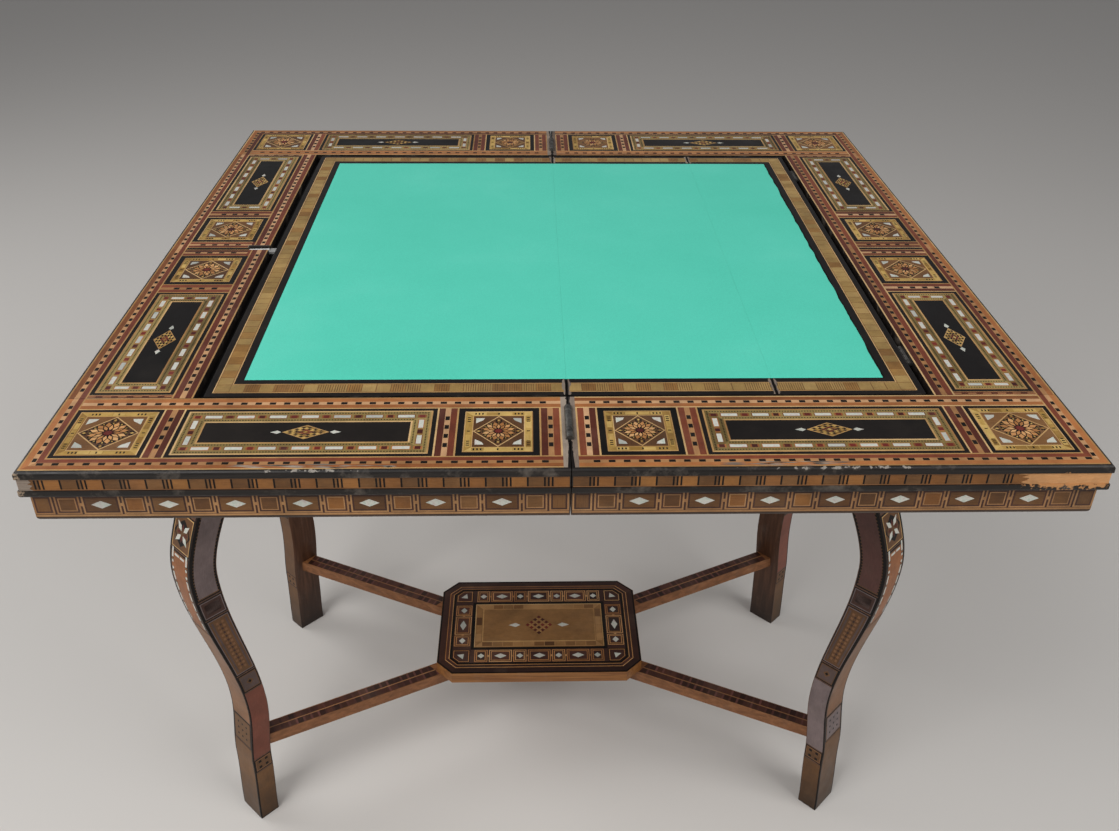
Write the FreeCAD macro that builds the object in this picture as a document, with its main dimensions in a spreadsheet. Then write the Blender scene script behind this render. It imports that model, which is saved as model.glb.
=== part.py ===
"""Inlaid games table with a swivelling fold-over top, shown open.

Millimetres. The origin is on the floor under the middle of the open top: +X right, -Y front, +Z up.
The seam between the two leaves lies on x = 0. The base stands a little left of the top's middle.
"""
import FreeCAD, Part
import math
import os
import re

Vector = FreeCAD.Vector
doc = FreeCAD.newDocument("games_table")

# Driving dimensions
SIZES = [
    ("table_height", 743, "floor to the top of the border"),
    ("top_side", 900, "side of the open square top"),
    ("seam_gap", 0.8, "between the two leaves"),
    ("slab_thick", 25.5, "border boards"),
    ("border_width", 115, "from the edge to the opening of the well"),
    ("bead_height", 7, "bead above and below the edge band"),
    ("band_depth", 1.2, "how far the edge band lies behind the beads"),
    ("bead_round", 3, "rounding of the beads"),
    ("apron_height", 28, "frieze boards below the slab"),
    ("apron_setback", 6, "frieze behind the slab edge"),
    ("apron_thick", 18, "frieze boards"),
    ("apron_round", 5, "rounded lower edge of the frieze"),
    ("bottom_thick", 9, "board that closes a leaf from below"),
    ("wall_thick", 16, "walls of the wells, which carry the playing boards"),
    ("seam_wall_thick", 12, "wall of a well along the seam"),
    ("board_thick", 10, "playing boards"),
    ("board_drop", 0.8, "top of the boards below the border"),
    ("board_end_gap", 4, "boards to the border at the front and the rear"),
    ("catch_gap", 8, "left board to the left border"),
    ("hinge_gap", 6, "narrow right board to the right border"),
    ("board_split", 192, "seam to the crease between the right boards"),
    ("split_gap", 0.6, "between the two right boards"),
    ("baize_margin", 29.5, "bare rim of the boards around the baize"),
    ("baize_sink", 1.0, "depth of the baize bed in the boards"),
    ("baize_thick", 1.2, "wool cloth"),
    ("axis_rise", 0.6, "fold axis above the top"),
    ("fold_hinge_inset", 70, "top edge to the middle of a fold hinge"),
    ("fold_hinge_length", 52, "barrel length"),
    ("barrel_radius", 3.5, "fold hinge barrel"),
    ("pin_radius", 1.6, "fold hinge pin"),
    ("plate_thick", 1.6, "fold hinge plates"),
    ("plate_drop", 17, "fold axis to the lower edge of a plate"),
    ("knuckle_gap", 0.2, "between neighbouring knuckles"),
    ("running_clear", 0.05, "pin or bolt in its bore, on the radius"),
    ("barrel_clear", 0.4, "barrel in its hollow, on the radius"),
    ("board_hinge_inset", 79, "corner of the opening to the middle of a board hinge"),
    ("board_hinge_length", 34, "barrel length"),
    ("board_barrel_radius", 2.2, "board hinge barrel"),
    ("board_pin_radius", 1.0, "board hinge pin"),
    ("board_plate_thick", 1.2, "board hinge plates"),
    ("board_plate_lift", 0.4, "board hinge plates above the underside of the boards"),
    ("screw_radius", 1.5, "hinge screw shank"),
    ("screw_head_radius", 2.6, "countersunk head"),
    ("screw_length", 12, "hinge screws"),
    ("catch_thick", 2.6, "sliding catch"),
    ("catch_depth", 1.6, "top of the catch below the border"),
    ("catch_bar_width", 5, "upper part of the catch bar"),
    ("catch_foot_width", 9, "lower part of the catch bar"),
    ("catch_bar_length", 24, "bar in its slot"),
    ("catch_nose_width", 11, "nose in the gap"),
    ("catch_throw", 6, "travel into the board"),
    ("catch_clear", 0.3, "around the catch"),
    ("base_offset", 22, "middle of the base left of the middle of the open top"),
    ("foot_inset_x", 57, "end of a centred top to the outer face of a foot"),
    ("foot_inset_y", 30, "long edge of the closed top to the outer face of a foot"),
    ("leg_thick", 42, "across the sawn side faces"),
    ("foot_width", 27, "sawn width at the floor"),
    ("shin_height", 100, "straight lower stretch"),
    ("shin_inset", 4, "outer face behind that of the foot"),
    ("shin_width", 27, "sawn width"),
    ("ankle_height", 192, "slimmest place"),
    ("ankle_inset", 12, "outer face behind that of the foot"),
    ("ankle_width", 27, "sawn width"),
    ("knee_height", 428, "furthest out"),
    ("knee_overhang", 26, "outer face in front of that of the foot"),
    ("knee_width", 34, "sawn width"),
    ("post_length", 89, "straight top end of the leg"),
    ("post_inset", 22, "outer face behind that of the foot"),
    ("post_width", 45, "sawn width"),
    ("rail_height", 80, "rails of the base"),
    ("rail_thick", 20, "rails of the base"),
    ("rail_clear", 0.3, "rails to the underside of the leaves"),
    ("dowel_radius", 4, "dowels of the base"),
    ("dowel_length", 36, "dowels of the base"),
    ("dowel_spread", 38, "between the two dowels of a joint"),
    ("bearer_width", 90, "board that carries the pivot"),
    ("bearer_thick", 22, "board that carries the pivot"),
    ("bolt_radius", 5, "pivot bolt"),
    ("bolt_head_radius", 13, "pivot bolt"),
    ("bolt_head_height", 4, "pivot bolt"),
    ("bolt_tail", 4, "bolt below its nut"),
    ("washer_radius", 15, "pivot washer"),
    ("washer_thick", 2, "pivot washer"),
    ("washer_clear", 0.2, "washer to the bearer"),
    ("nut_radius", 9.2, "pivot nut across its corners, half"),
    ("nut_height", 8, "pivot nut"),
    ("bar_top", 136, "top of the crossed stretchers"),
    ("bar_height", 17, "stretchers"),
    ("bar_width", 23, "stretchers"),
    ("shelf_length", 287, "shelf along X"),
    ("shelf_depth", 191, "shelf along Y"),
    ("shelf_thick", 17, "shelf"),
    ("shelf_cant", 22, "cut off each shelf corner"),
    ("shelf_screw_place", 95, "middle of the shelf to a screw"),
    ("shelf_screw_bite", 10, "shelf screw in the shelf"),
    ("shelf_screw_radius", 2, "shelf screw"),
]

sheet = doc.addObject("Spreadsheet::Sheet", "Sizes")
for row, (alias, value, meaning) in enumerate(SIZES, start=1):
    sheet.set(f"A{row}", meaning)
    sheet.set(f"B{row}", str(value))
    sheet.setAlias(f"B{row}", alias)
doc.recompute()
ALIASES = {alias for alias, value, meaning in SIZES}


def size(alias):
    """A driving dimension as a number."""
    return float(sheet.get(alias))


def bind(thing, **properties):
    """Tie properties to expressions written with the plain names of the driving dimensions."""
    for name, text in properties.items():
        linked = re.sub(r"[a-z_]+", lambda m: f"Sizes.{m[0]}" if m[0] in ALIASES else m[0], text)
        thing.setExpression(name.replace("__", "."), linked)


# Derived places, as expressions
HALF = "(top_side / 2)"
SEAM = "(seam_gap / 2)"
TOP = "table_height"
SLAB_FLOOR = "(table_height - slab_thick)"
LEAF_FLOOR = "(table_height - slab_thick - apron_height)"
WELL_FLOOR = f"({LEAF_FLOOR} + bottom_thick)"
OPENING = "(top_side / 2 - border_width)"
WELL = "(top_side / 2 - border_width - wall_thick)"
APRON_OUT = "(top_side / 2 - apron_setback)"
APRON_IN = "(top_side / 2 - apron_setback - apron_thick)"
SEAM_WALL = f"({SEAM} + seam_wall_thick)"
BOARD_TOP = "(table_height - board_drop)"
BOARD_FLOOR = "(table_height - board_drop - board_thick)"
BOARD_END = f"({OPENING} - board_end_gap)"
BOARD_LEFT = f"({OPENING} - catch_gap)"
BOARD_RIGHT = f"({OPENING} - hinge_gap)"
BAIZE_FLOOR = f"({BOARD_TOP} - baize_sink)"
FOLD_AXIS = "(table_height + axis_rise)"
RAIL_TOP = f"({LEAF_FLOOR} - rail_clear)"
FOOT_X = "(top_side / 2 - foot_inset_x)"
FOOT_Y = "(top_side / 4 - foot_inset_y)"
PIVOT_X = "((-base_offset - top_side / 4) / 2)"
PIVOT_Y = "((base_offset - top_side / 4) / 2)"
DIAGONAL = "sqrt(0.5)"

# How far a cutting tool stands past the face it cuts, and how close two equal places lie
PROUD = "1"
SAME_PLACE = 1e-4
UPRIGHT = Vector(0, 0, 1)

subparts = {}


def keep(label, thing):
    """Name a finished sub-part and list it for export."""
    thing.Label = label
    subparts[label] = thing
    return thing


def span(sign, low, high):
    """Lower end and length of a stretch given by distances on one side of the middle."""
    start = low if sign > 0 else f"-({high})"
    return start, f"({high}) - ({low})"


def board(name, across, along, up, sx=1, sy=1):
    """A box between distances across (X), along (Y) and up (Z), mirrored where sx or sy is -1."""
    box = doc.addObject("Part::Box", name)
    x, length = span(sx, *across)
    y, width = span(sy, *along)
    z, height = span(1, *up)
    bind(box, Length=length, Width=width, Height=height)
    bind(box, Placement__Base__x=x, Placement__Base__y=y, Placement__Base__z=z)
    return box


def rod(name, radius, length, start, direction):
    """A cylinder from a start point along a fixed direction."""
    cylinder = doc.addObject("Part::Cylinder", name)
    turn = FreeCAD.Rotation(UPRIGHT, Vector(*direction))
    cylinder.Placement = FreeCAD.Placement(Vector(), turn)
    bind(cylinder, Radius=radius, Height=length)
    x, y, z = start
    bind(cylinder, Placement__Base__x=x, Placement__Base__y=y, Placement__Base__z=z)
    return cylinder


def cut(base, *tools):
    """Cut the tools out of the base one after the other."""
    for tool in tools:
        result = doc.addObject("Part::Cut", base.Name + "_cut")
        result.Base = base
        result.Tool = tool
        base = result
    return base


def fuse(name, *pieces):
    """Join pieces into one solid."""
    joined = doc.addObject("Part::MultiFuse", name)
    joined.Shapes = list(pieces)
    joined.Refine = True
    return joined


def group(name, pieces):
    """Separate solids of one kind in one node."""
    compound = doc.addObject("Part::Compound", name)
    compound.Links = list(pieces)
    return compound


def rounded(base, radius, wanted):
    """Fillet the edges whose two ends both pass the test."""
    doc.recompute()
    chosen = [
        number
        for number, edge in enumerate(base.Shape.Edges, start=1)
        if all(wanted(vertex.Point) for vertex in edge.Vertexes)
    ]
    fillet = doc.addObject("Part::Fillet", base.Name + "_round")
    fillet.Base = base
    fillet.Edges = [(number, radius, radius) for number in chosen]
    return fillet


def near(a, b):
    """True for two places that are the same."""
    return abs(a - b) < SAME_PLACE


# Screws and hinges

def hinge_screw(name, sx, sy, face, y, z):
    """Countersunk screw driven outward along X from a plate face."""
    x = face if sx > 0 else f"-({face})"
    place = (x, f"{sy} * ({y})", z)
    shank = rod(name + "_shank", "screw_radius", "screw_length", place, (sx, 0, 0))
    head = doc.addObject("Part::Cone", name + "_head")
    head.Placement = FreeCAD.Placement(Vector(), FreeCAD.Rotation(UPRIGHT, Vector(sx, 0, 0)))
    bind(head, Radius1="screw_head_radius", Radius2="screw_radius")
    bind(head, Height="screw_head_radius - screw_radius")
    bind(head, Placement__Base__x=place[0], Placement__Base__y=place[1], Placement__Base__z=place[2])
    return fuse(name, shank, head)


FOLD_MIDDLE = f"({HALF} - fold_hinge_inset)"
FOLD_START = f"({FOLD_MIDDLE} - fold_hinge_length / 2)"
FOLD_END = f"({FOLD_MIDDLE} + fold_hinge_length / 2)"
PLATE_FLOOR = f"({FOLD_AXIS} - plate_drop)"
FOLD_KNUCKLES = 5
SCREW_SPREAD = "(fold_hinge_length / 4)"


def knuckles(name, numbers, count, sy, stretch, axis, radius, web):
    """Some of a barrel's knuckles, each with the web that ties it to its plate."""
    start, length = stretch
    axis_x, axis_z = axis
    pieces = []
    for number in numbers:
        low = f"({start} + {number} * {length} / {count} + knuckle_gap / 2)"
        high = f"({start} + {number + 1} * {length} / {count} - knuckle_gap / 2)"
        y, reach = span(sy, low, high)
        pieces.append(rod(f"{name}_knuckle_{number}", radius, reach, (axis_x, y, axis_z), (0, 1, 0)))
        pieces.append(web(f"{name}_web_{number}", (low, high)))
    return pieces


def fold_hinge_plate(name, sx, sy, first):
    """Plate of a fold hinge with its knuckles, and the screws through it."""
    plate_top = f"({FOLD_AXIS} - barrel_radius - barrel_clear)"
    thick = (SEAM, f"{SEAM} + plate_thick")
    plate = board(name + "_plate", thick, (FOLD_START, FOLD_END), (PLATE_FLOOR, plate_top), sx, sy)

    def web(label, along):
        return board(label, thick, along, (plate_top, FOLD_AXIS), sx, sy)

    axis = ("0", FOLD_AXIS)
    stretch = (FOLD_START, "fold_hinge_length")
    every_second = range(first, FOLD_KNUCKLES, 2)
    barrel = knuckles(name, every_second, FOLD_KNUCKLES, sy, stretch, axis, "barrel_radius", web)
    y, reach = span(sy, FOLD_START, FOLD_END)
    bore = rod(name + "_bore", "pin_radius + running_clear", reach, ("0", y, FOLD_AXIS), (0, 1, 0))
    height = f"({PLATE_FLOOR} + (plate_drop - barrel_radius) / 2)"
    screws = [
        hinge_screw(f"{name}_screw_{n}", sx, sy, SEAM, f"{FOLD_MIDDLE} + {n} * {SCREW_SPREAD}", height)
        for n in (-1, 1)
    ]
    return cut(fuse(name + "_blank", plate, *barrel), bore, *screws), screws


# The two leaves

def border_end(name, sx, sy, screws):
    """Front or rear border board: edge band, bed for the fold hinge, screw holes, rounded beads."""
    blank = board(name + "_blank", (SEAM, HALF), (OPENING, HALF), (SLAB_FLOOR, TOP), sx, sy)
    band = (f"{SLAB_FLOOR} + bead_height", f"{TOP} - bead_height")
    behind = f"{HALF} - band_depth"
    beyond = f"{HALF} + {PROUD}"
    long_band = board(name + "_band", (f"{SEAM} - {PROUD}", beyond), (behind, beyond), band, sx, sy)
    end_band = board(name + "_end_band", (behind, beyond), (f"{OPENING} - {PROUD}", beyond), band, sx, sy)
    bed = board(
        name + "_bed",
        (f"{SEAM} - {PROUD}", f"{SEAM} + plate_thick"),
        (FOLD_START, FOLD_END),
        (PLATE_FLOOR, f"{TOP} + {PROUD}"),
        sx,
        sy,
    )
    y, reach = span(sy, f"{FOLD_START} - barrel_clear", f"{FOLD_END} + barrel_clear")
    hollow = rod(name + "_hollow", "barrel_radius + barrel_clear", reach, ("0", y, FOLD_AXIS), (0, 1, 0))
    solid = cut(blank, long_band, end_band, bed, hollow, *screws)
    edge = size("top_side") / 2
    levels = (size("table_height"), size("table_height") - size("slab_thick"))

    def bead(point):
        outer = near(abs(point.x), edge) or near(abs(point.y), edge)
        return outer and any(near(point.z, level) for level in levels)

    return rounded(solid, size("bead_round"), bead)


def border_side(name, sx, tools):
    """Outer border board between the front and the rear one."""
    blank = board(name + "_blank", (OPENING, HALF), (f"-{OPENING}", OPENING), (SLAB_FLOOR, TOP), sx)
    band = board(
        name + "_band",
        (f"{HALF} - band_depth", f"{HALF} + {PROUD}"),
        (f"-{OPENING} - {PROUD}", f"{OPENING} + {PROUD}"),
        (f"{SLAB_FLOOR} + bead_height", f"{TOP} - bead_height"),
        sx,
    )
    solid = cut(blank, band, *tools)
    edge = size("top_side") / 2
    levels = (size("table_height"), size("table_height") - size("slab_thick"))

    def bead(point):
        return near(abs(point.x), edge) and any(near(point.z, level) for level in levels)

    return rounded(solid, size("bead_round"), bead)


def apron(name, turn, low_inside, low_outside):
    """Frieze board, mitred at the outer corners, lower edge rounded; made as the rear one and turned."""
    wedge = doc.addObject("Part::Wedge", name + "_blank")
    wedge.Placement = FreeCAD.Placement(Vector(), FreeCAD.Rotation(UPRIGHT, turn))
    bind(wedge, Ymin=APRON_IN, Ymax=APRON_OUT)
    bind(wedge, Xmin=low_inside[0], Xmax=low_inside[1], X2min=low_outside[0], X2max=low_outside[1])
    bind(wedge, Zmin=LEAF_FLOOR, Z2min=LEAF_FLOOR, Zmax=SLAB_FLOOR, Z2max=SLAB_FLOOR)
    reach = size("top_side") / 2 - size("apron_setback")
    floor = size("table_height") - size("slab_thick") - size("apron_height")
    facing = FreeCAD.Rotation(UPRIGHT, turn).multVec(Vector(0, 1, 0))

    def lower_outer(point):
        return near(point.dot(facing), reach) and near(point.z, floor)

    return rounded(wedge, size("apron_round"), lower_outer)


def seam_wall(name, sx):
    """Wall of a well along the seam, low under the borders and high under the boards."""
    across = (SEAM, SEAM_WALL)
    low = board(name + "_low", across, (f"-{APRON_IN}", APRON_IN), (WELL_FLOOR, SLAB_FLOOR), sx)
    high = board(name + "_high", across, (f"-{OPENING}", OPENING), (WELL_FLOOR, BOARD_FLOOR), sx)
    return fuse(name + "_joined", low, high)


def playing_board(name, sx, low, high, bed_low, bed_high, tools=()):
    """Playing board with the shallow bed that the baize is glued into."""
    blank = board(name + "_blank", (low, high), (f"-{BOARD_END}", BOARD_END), (BOARD_FLOOR, BOARD_TOP), sx)
    cloth_end = f"({BOARD_END} - baize_margin)"
    bed = board(
        name + "_bed",
        (bed_low, bed_high),
        (f"-{cloth_end}", cloth_end),
        (BAIZE_FLOOR, f"{TOP} + {PROUD}"),
        sx,
    )
    return cut(blank, bed, *tools)


def baize(name, sx, low, high):
    """Cloth glued into the bed of a playing board."""
    cloth_end = f"({BOARD_END} - baize_margin)"
    up = (BAIZE_FLOOR, f"{BAIZE_FLOOR} + baize_thick")
    return board(name, (low, high), (f"-{cloth_end}", cloth_end), up, sx)


def leaf_box(side, sx, bolt_hole=None):
    """Friezes, bottom board and well walls of one leaf."""
    turned = {"front": 180, "rear": 0}
    for end, turn in turned.items():
        outward = sx if end == "rear" else -sx
        inside = (SEAM, APRON_IN) if outward > 0 else (f"-{APRON_IN}", f"-{SEAM}")
        outside = (SEAM, APRON_OUT) if outward > 0 else (f"-{APRON_OUT}", f"-{SEAM}")
        keep(f"{side}_apron_{end}", apron(f"{side}_apron_{end}", turn, inside, outside))
    both_in = (f"-{APRON_IN}", APRON_IN)
    both_out = (f"-{APRON_OUT}", APRON_OUT)
    keep(f"{side}_apron_outer", apron(f"{side}_apron_outer", -90 * sx, both_in, both_out))
    bottom = board(
        f"{side}_bottom", (SEAM, APRON_IN), (f"-{APRON_IN}", APRON_IN), (LEAF_FLOOR, WELL_FLOOR), sx
    )
    keep(f"{side}_bottom_board", cut(bottom, bolt_hole) if bolt_hole else bottom)
    keep(f"{side}_seam_wall", seam_wall(f"{side}_seam_wall", sx))
    up = (WELL_FLOOR, BOARD_FLOOR)
    for end, sy in (("front", -1), ("rear", 1)):
        name = f"{side}_well_wall_{end}"
        keep(name, board(name, (SEAM_WALL, WELL), (WELL, OPENING), up, sx, sy))
    name = f"{side}_well_wall_outer"
    keep(name, board(name, (WELL, OPENING), (f"-{OPENING}", OPENING), up, sx))


# Fold hinges and end borders
fold_screws = {"left": [], "right": []}
for side, sx, first in (("left", -1, 0), ("right", 1, 1)):
    for end, sy in (("front", -1), ("rear", 1)):
        name = f"{end}_hinge_{side}_plate"
        plate, screws = fold_hinge_plate(name, sx, sy, first)
        keep(name, plate)
        fold_screws[side] += screws
        keep(f"{side}_border_{end}", border_end(f"{side}_border_{end}", sx, sy, screws))
    keep(f"{side}_hinge_screws", group(f"{side}_hinge_screws", fold_screws[side]))
for end, sy in (("front", -1), ("rear", 1)):
    y, reach = span(sy, FOLD_START, FOLD_END)
    name = f"{end}_hinge_pin"
    keep(name, rod(name, "pin_radius", reach, ("0", y, FOLD_AXIS), (0, 1, 0)))

# Sliding catch in the left border
CATCH_TOP = "(table_height - catch_depth)"
CATCH_FLOOR = f"({CATCH_TOP} - catch_thick)"
CATCH_STEP = f"({CATCH_TOP} - catch_thick / 2)"
CATCH_TIP = f"({BOARD_LEFT} + catch_clear)"
CATCH_TAIL = f"({OPENING} + catch_bar_length)"


def catch_part(name, low, high, width, floor, top, clear="0"):
    """A length of the catch, or its slot where a clearance is given."""
    across = (f"{low} - {clear}", f"{high} + {clear}")
    along = (f"-{width} / 2 - {clear}", f"{width} / 2 + {clear}")
    return board(name, across, along, (f"{floor} - {clear}", f"{top} + {clear}"), -1)


NOSE_END = f"({OPENING} - catch_clear)"
BAR_START = f"({NOSE_END} - catch_clear)"
nose = catch_part("catch_nose", CATCH_TIP, NOSE_END, "catch_nose_width", CATCH_FLOOR, CATCH_TOP)
bar_foot = catch_part("catch_foot", BAR_START, CATCH_TAIL, "catch_foot_width", CATCH_FLOOR, CATCH_STEP)
bar_upper = catch_part("catch_upper", BAR_START, CATCH_TAIL, "catch_bar_width", CATCH_FLOOR, CATCH_TOP)
keep("board_catch", fuse("board_catch", nose, bar_foot, bar_upper))
SLOT_MOUTH = f"({OPENING} - {PROUD})"
slot_foot = catch_part(
    "slot_foot", SLOT_MOUTH, CATCH_TAIL, "catch_foot_width", CATCH_FLOOR, CATCH_STEP, "catch_clear"
)
slot_upper = catch_part(
    "slot_upper", SLOT_MOUTH, CATCH_TAIL, "catch_bar_width", CATCH_FLOOR, f"{TOP} + {PROUD}", "catch_clear"
)
slot_tip = catch_part(
    "slot_tip",
    f"{CATCH_TIP} - catch_throw",
    f"{BOARD_LEFT} + {PROUD}",
    "catch_nose_width",
    CATCH_FLOOR,
    CATCH_TOP,
    "catch_clear",
)
keep("left_border_outer", border_side("left_border_outer", -1, [slot_foot, slot_upper]))

# Board hinges in the right gap
HINGE_AXIS_X = f"({OPENING} - hinge_gap / 2)"
HINGE_AXIS_Z = f"({BOARD_TOP} - board_barrel_radius)"
HINGE_MIDDLE = f"({OPENING} - board_hinge_inset)"
HINGE_START = f"({HINGE_MIDDLE} - board_hinge_length / 2)"
HINGE_END = f"({HINGE_MIDDLE} + board_hinge_length / 2)"
HINGE_FLOOR = f"({BOARD_FLOOR} + board_plate_lift)"
HINGE_UP = (HINGE_FLOOR, f"{HINGE_AXIS_Z} + board_barrel_radius")
HINGE_KNUCKLES = 3
WEB_UP = (f"{HINGE_AXIS_Z} - board_plate_thick / 2", f"{HINGE_AXIS_Z} + board_plate_thick / 2")


def board_hinge(end, sy):
    """Fixed plate, moving plate, pin and screws of one board hinge."""
    y, reach = span(sy, HINGE_START, HINGE_END)
    axis_start = (HINGE_AXIS_X, y, HINGE_AXIS_Z)
    bore_radius = "board_pin_radius + running_clear"
    bore = rod(f"{end}_board_hinge_bore", bore_radius, reach, axis_start, (0, 1, 0))
    pin = rod(f"{end}_board_hinge_pin", "board_pin_radius", reach, axis_start, (0, 1, 0))
    fixed_plate = (OPENING, f"{OPENING} + board_plate_thick")
    moving_plate = (f"{BOARD_RIGHT} - board_plate_thick", BOARD_RIGHT)
    outer, middle = (0, 2), (1,)
    halves = {
        "fixed": (fixed_plate, (HINGE_AXIS_X, OPENING), outer, 1, OPENING),
        "moving": (moving_plate, (BOARD_RIGHT, HINGE_AXIS_X), middle, -1, BOARD_RIGHT),
    }
    made = {"pin": pin}
    height = f"({HINGE_FLOOR} + 2 * screw_radius)"
    stretch = (HINGE_START, "board_hinge_length")
    axis = (HINGE_AXIS_X, HINGE_AXIS_Z)
    for kind, (thick, bridge, numbers, way, face) in halves.items():
        label = f"{end}_board_hinge_{kind}"
        plate = board(label + "_plate", thick, (HINGE_START, HINGE_END), HINGE_UP, 1, sy)

        def web(name, along):
            return board(name, bridge, along, WEB_UP, 1, sy)

        barrel = knuckles(label, numbers, HINGE_KNUCKLES, sy, stretch, axis, "board_barrel_radius", web)
        start = (face, f"{sy} * {HINGE_MIDDLE}", height)
        screw = rod(label + "_screw", "screw_radius", "screw_length", start, (way, 0, 0))
        made[kind] = cut(fuse(label, plate, *barrel), bore, screw)
        made[kind + "_bed"] = board(label + "_bed", thick, (HINGE_START, HINGE_END), HINGE_UP, 1, sy)
        made[kind + "_screw"] = screw
    return made


board_hinges = [board_hinge("front", -1), board_hinge("rear", 1)]
keep("board_hinge_fixed_plates", group("board_hinge_fixed", [made["fixed"] for made in board_hinges]))
keep("board_hinge_moving_plates", group("board_hinge_moving", [made["moving"] for made in board_hinges]))
keep("board_hinge_pins", group("board_hinge_pins", [made["pin"] for made in board_hinges]))
hinge_screws = [made[kind] for made in board_hinges for kind in ("fixed_screw", "moving_screw")]
keep("board_hinge_screws", group("board_hinge_screws", hinge_screws))
border_beds = [made[kind] for made in board_hinges for kind in ("fixed_bed", "fixed_screw")]
board_beds = [made[kind] for made in board_hinges for kind in ("moving_bed", "moving_screw")]
keep("right_border_outer", border_side("right_border_outer", 1, border_beds))

# Playing boards and baize
BED_LEFT = f"({BOARD_LEFT} - baize_margin)"
BED_RIGHT = f"({BOARD_RIGHT} - baize_margin)"
PAST_SEAM = f"({SEAM} - {PROUD})"
SPLIT_LOW = "(board_split - split_gap / 2)"
SPLIT_HIGH = "(board_split + split_gap / 2)"
keep("left_board", playing_board("left_board", -1, SEAM, BOARD_LEFT, PAST_SEAM, BED_LEFT, [slot_tip]))
keep("left_baize", baize("left_baize", -1, SEAM, BED_LEFT))
wide = playing_board("right_board_wide", 1, SEAM, SPLIT_LOW, PAST_SEAM, f"{SPLIT_LOW} + {PROUD}")
keep("right_board_wide", wide)
keep("right_baize_wide", baize("right_baize_wide", 1, SEAM, SPLIT_LOW))
narrow = playing_board(
    "right_board_narrow", 1, SPLIT_HIGH, BOARD_RIGHT, f"{SPLIT_HIGH} - {PROUD}", BED_RIGHT, board_beds
)
keep("right_board_narrow", narrow)
keep("right_baize_narrow", baize("right_baize_narrow", 1, SPLIT_HIGH, BED_RIGHT))

# Pivot
BEARER_FLOOR = f"({RAIL_TOP} - bearer_thick)"
WASHER_FLOOR = f"({BEARER_FLOOR} - washer_clear - washer_thick)"
NUT_FLOOR = f"({WASHER_FLOOR} - nut_height)"
BOLT_FLOOR = f"({NUT_FLOOR} - bolt_tail)"


def on_pivot(name, radius, low, high):
    """A cylinder on the pivot axis between two heights."""
    return rod(name, radius, f"{high} - {low}", (PIVOT_X, PIVOT_Y, low), (0, 0, 1))


shaft = on_pivot("bolt_shaft", "bolt_radius", BOLT_FLOOR, WELL_FLOOR)
head = on_pivot("bolt_head", "bolt_head_radius", WELL_FLOOR, f"({WELL_FLOOR} + bolt_head_height)")
keep("pivot_bolt", fuse("pivot_bolt", shaft, head))
bolt_bore = on_pivot("bolt_bore", "bolt_radius + running_clear", BOLT_FLOOR, WELL_FLOOR)
washer = on_pivot("washer_blank", "washer_radius", WASHER_FLOOR, f"({WASHER_FLOOR} + washer_thick)")
keep("pivot_washer", cut(washer, bolt_bore))
nut = doc.addObject("Part::Prism", "nut_blank")
nut.Polygon = 6
bind(nut, Circumradius="nut_radius", Height="nut_height")
bind(nut, Placement__Base__x=PIVOT_X, Placement__Base__y=PIVOT_Y, Placement__Base__z=NUT_FLOOR)
keep("pivot_nut", cut(nut, bolt_bore))
leaf_box("left", -1, bolt_bore)
leaf_box("right", 1)

# Legs
LEG_TOP = size("table_height") - size("slab_thick") - size("apron_height") - size("rail_clear")
LEG_STATIONS = [
    (size("shin_height"), -size("shin_inset"), size("shin_width")),
    (size("ankle_height"), -size("ankle_inset"), size("ankle_width")),
    (size("knee_height"), size("knee_overhang"), size("knee_width")),
    (LEG_TOP - size("post_length"), -size("post_inset"), size("post_width")),
]
FEET = {
    "front_left": (-1, -1),
    "front_right": (1, -1),
    "rear_left": (-1, 1),
    "rear_right": (1, 1),
}


def sway(low, high):
    """Curve between two stations that leaves both upright."""
    third = Vector(0, 0, (high.z - low.z) / 3)
    curve = Part.BezierCurve()
    curve.setPoles([low, low + third, high - third, high])
    return curve.toShape()


def leg_blank(name, sx, sy):
    """Sawn leg: a swayed outline in the upright plane at 45 degrees, of one thickness."""
    thick = size("leg_thick")
    side = -thick / 2
    outer = [Vector(0, side, 0)]
    inner = [Vector(-size("foot_width"), side, 0)]
    for height, outward, width in LEG_STATIONS:
        outer.append(Vector(outward, side, height))
        inner.append(Vector(outward - width, side, height))
    crown = [outer[-1], Vector(outer[-1].x, side, LEG_TOP), Vector(inner[-1].x, side, LEG_TOP), inner[-1]]
    edges = [sway(low, high) for low, high in zip(outer, outer[1:])]
    edges += [Part.makeLine(start, end) for start, end in zip(crown, crown[1:])]
    edges += [sway(low, high) for low, high in zip(inner, inner[1:])]
    edges.append(Part.makeLine(inner[0], outer[0]))
    face = Part.Face(Part.Wire(Part.__sortEdges__(edges)))
    solid = face.extrude(Vector(0, thick, 0))
    leg = doc.addObject("Part::Feature", name)
    leg.Shape = solid
    angle = math.degrees(math.atan2(sy, sx))
    reach_x = size("top_side") / 2 - size("foot_inset_x")
    reach_y = size("top_side") / 4 - size("foot_inset_y")
    foot = Vector(sx * reach_x - size("base_offset"), sy * reach_y, 0)
    leg.Placement = FreeCAD.Placement(foot, FreeCAD.Rotation(UPRIGHT, angle))
    return leg


leg_blanks = {foot: leg_blank(f"leg_{foot}_blank", *signs) for foot, signs in FEET.items()}

# Rails, each mitred against the side faces of two posts, made as the rear one and turned
RAIL_SET = f"((leg_thick / 2 - post_inset - post_width / 2) * {DIAGONAL})"
RAIL_FLOOR = f"({RAIL_TOP} - rail_height)"
RAILS = {
    "rear": (0, FOOT_X, FOOT_Y),
    "front": (180, FOOT_X, FOOT_Y),
    "right": (-90, FOOT_Y, FOOT_X),
    "left": (90, FOOT_Y, FOOT_X),
}


def rail_half(reach, way, distance):
    """Half the length of a rail at a distance from the middle of the base."""
    return f"({distance} + {reach} - {way} - leg_thick * {DIAGONAL})"


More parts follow.
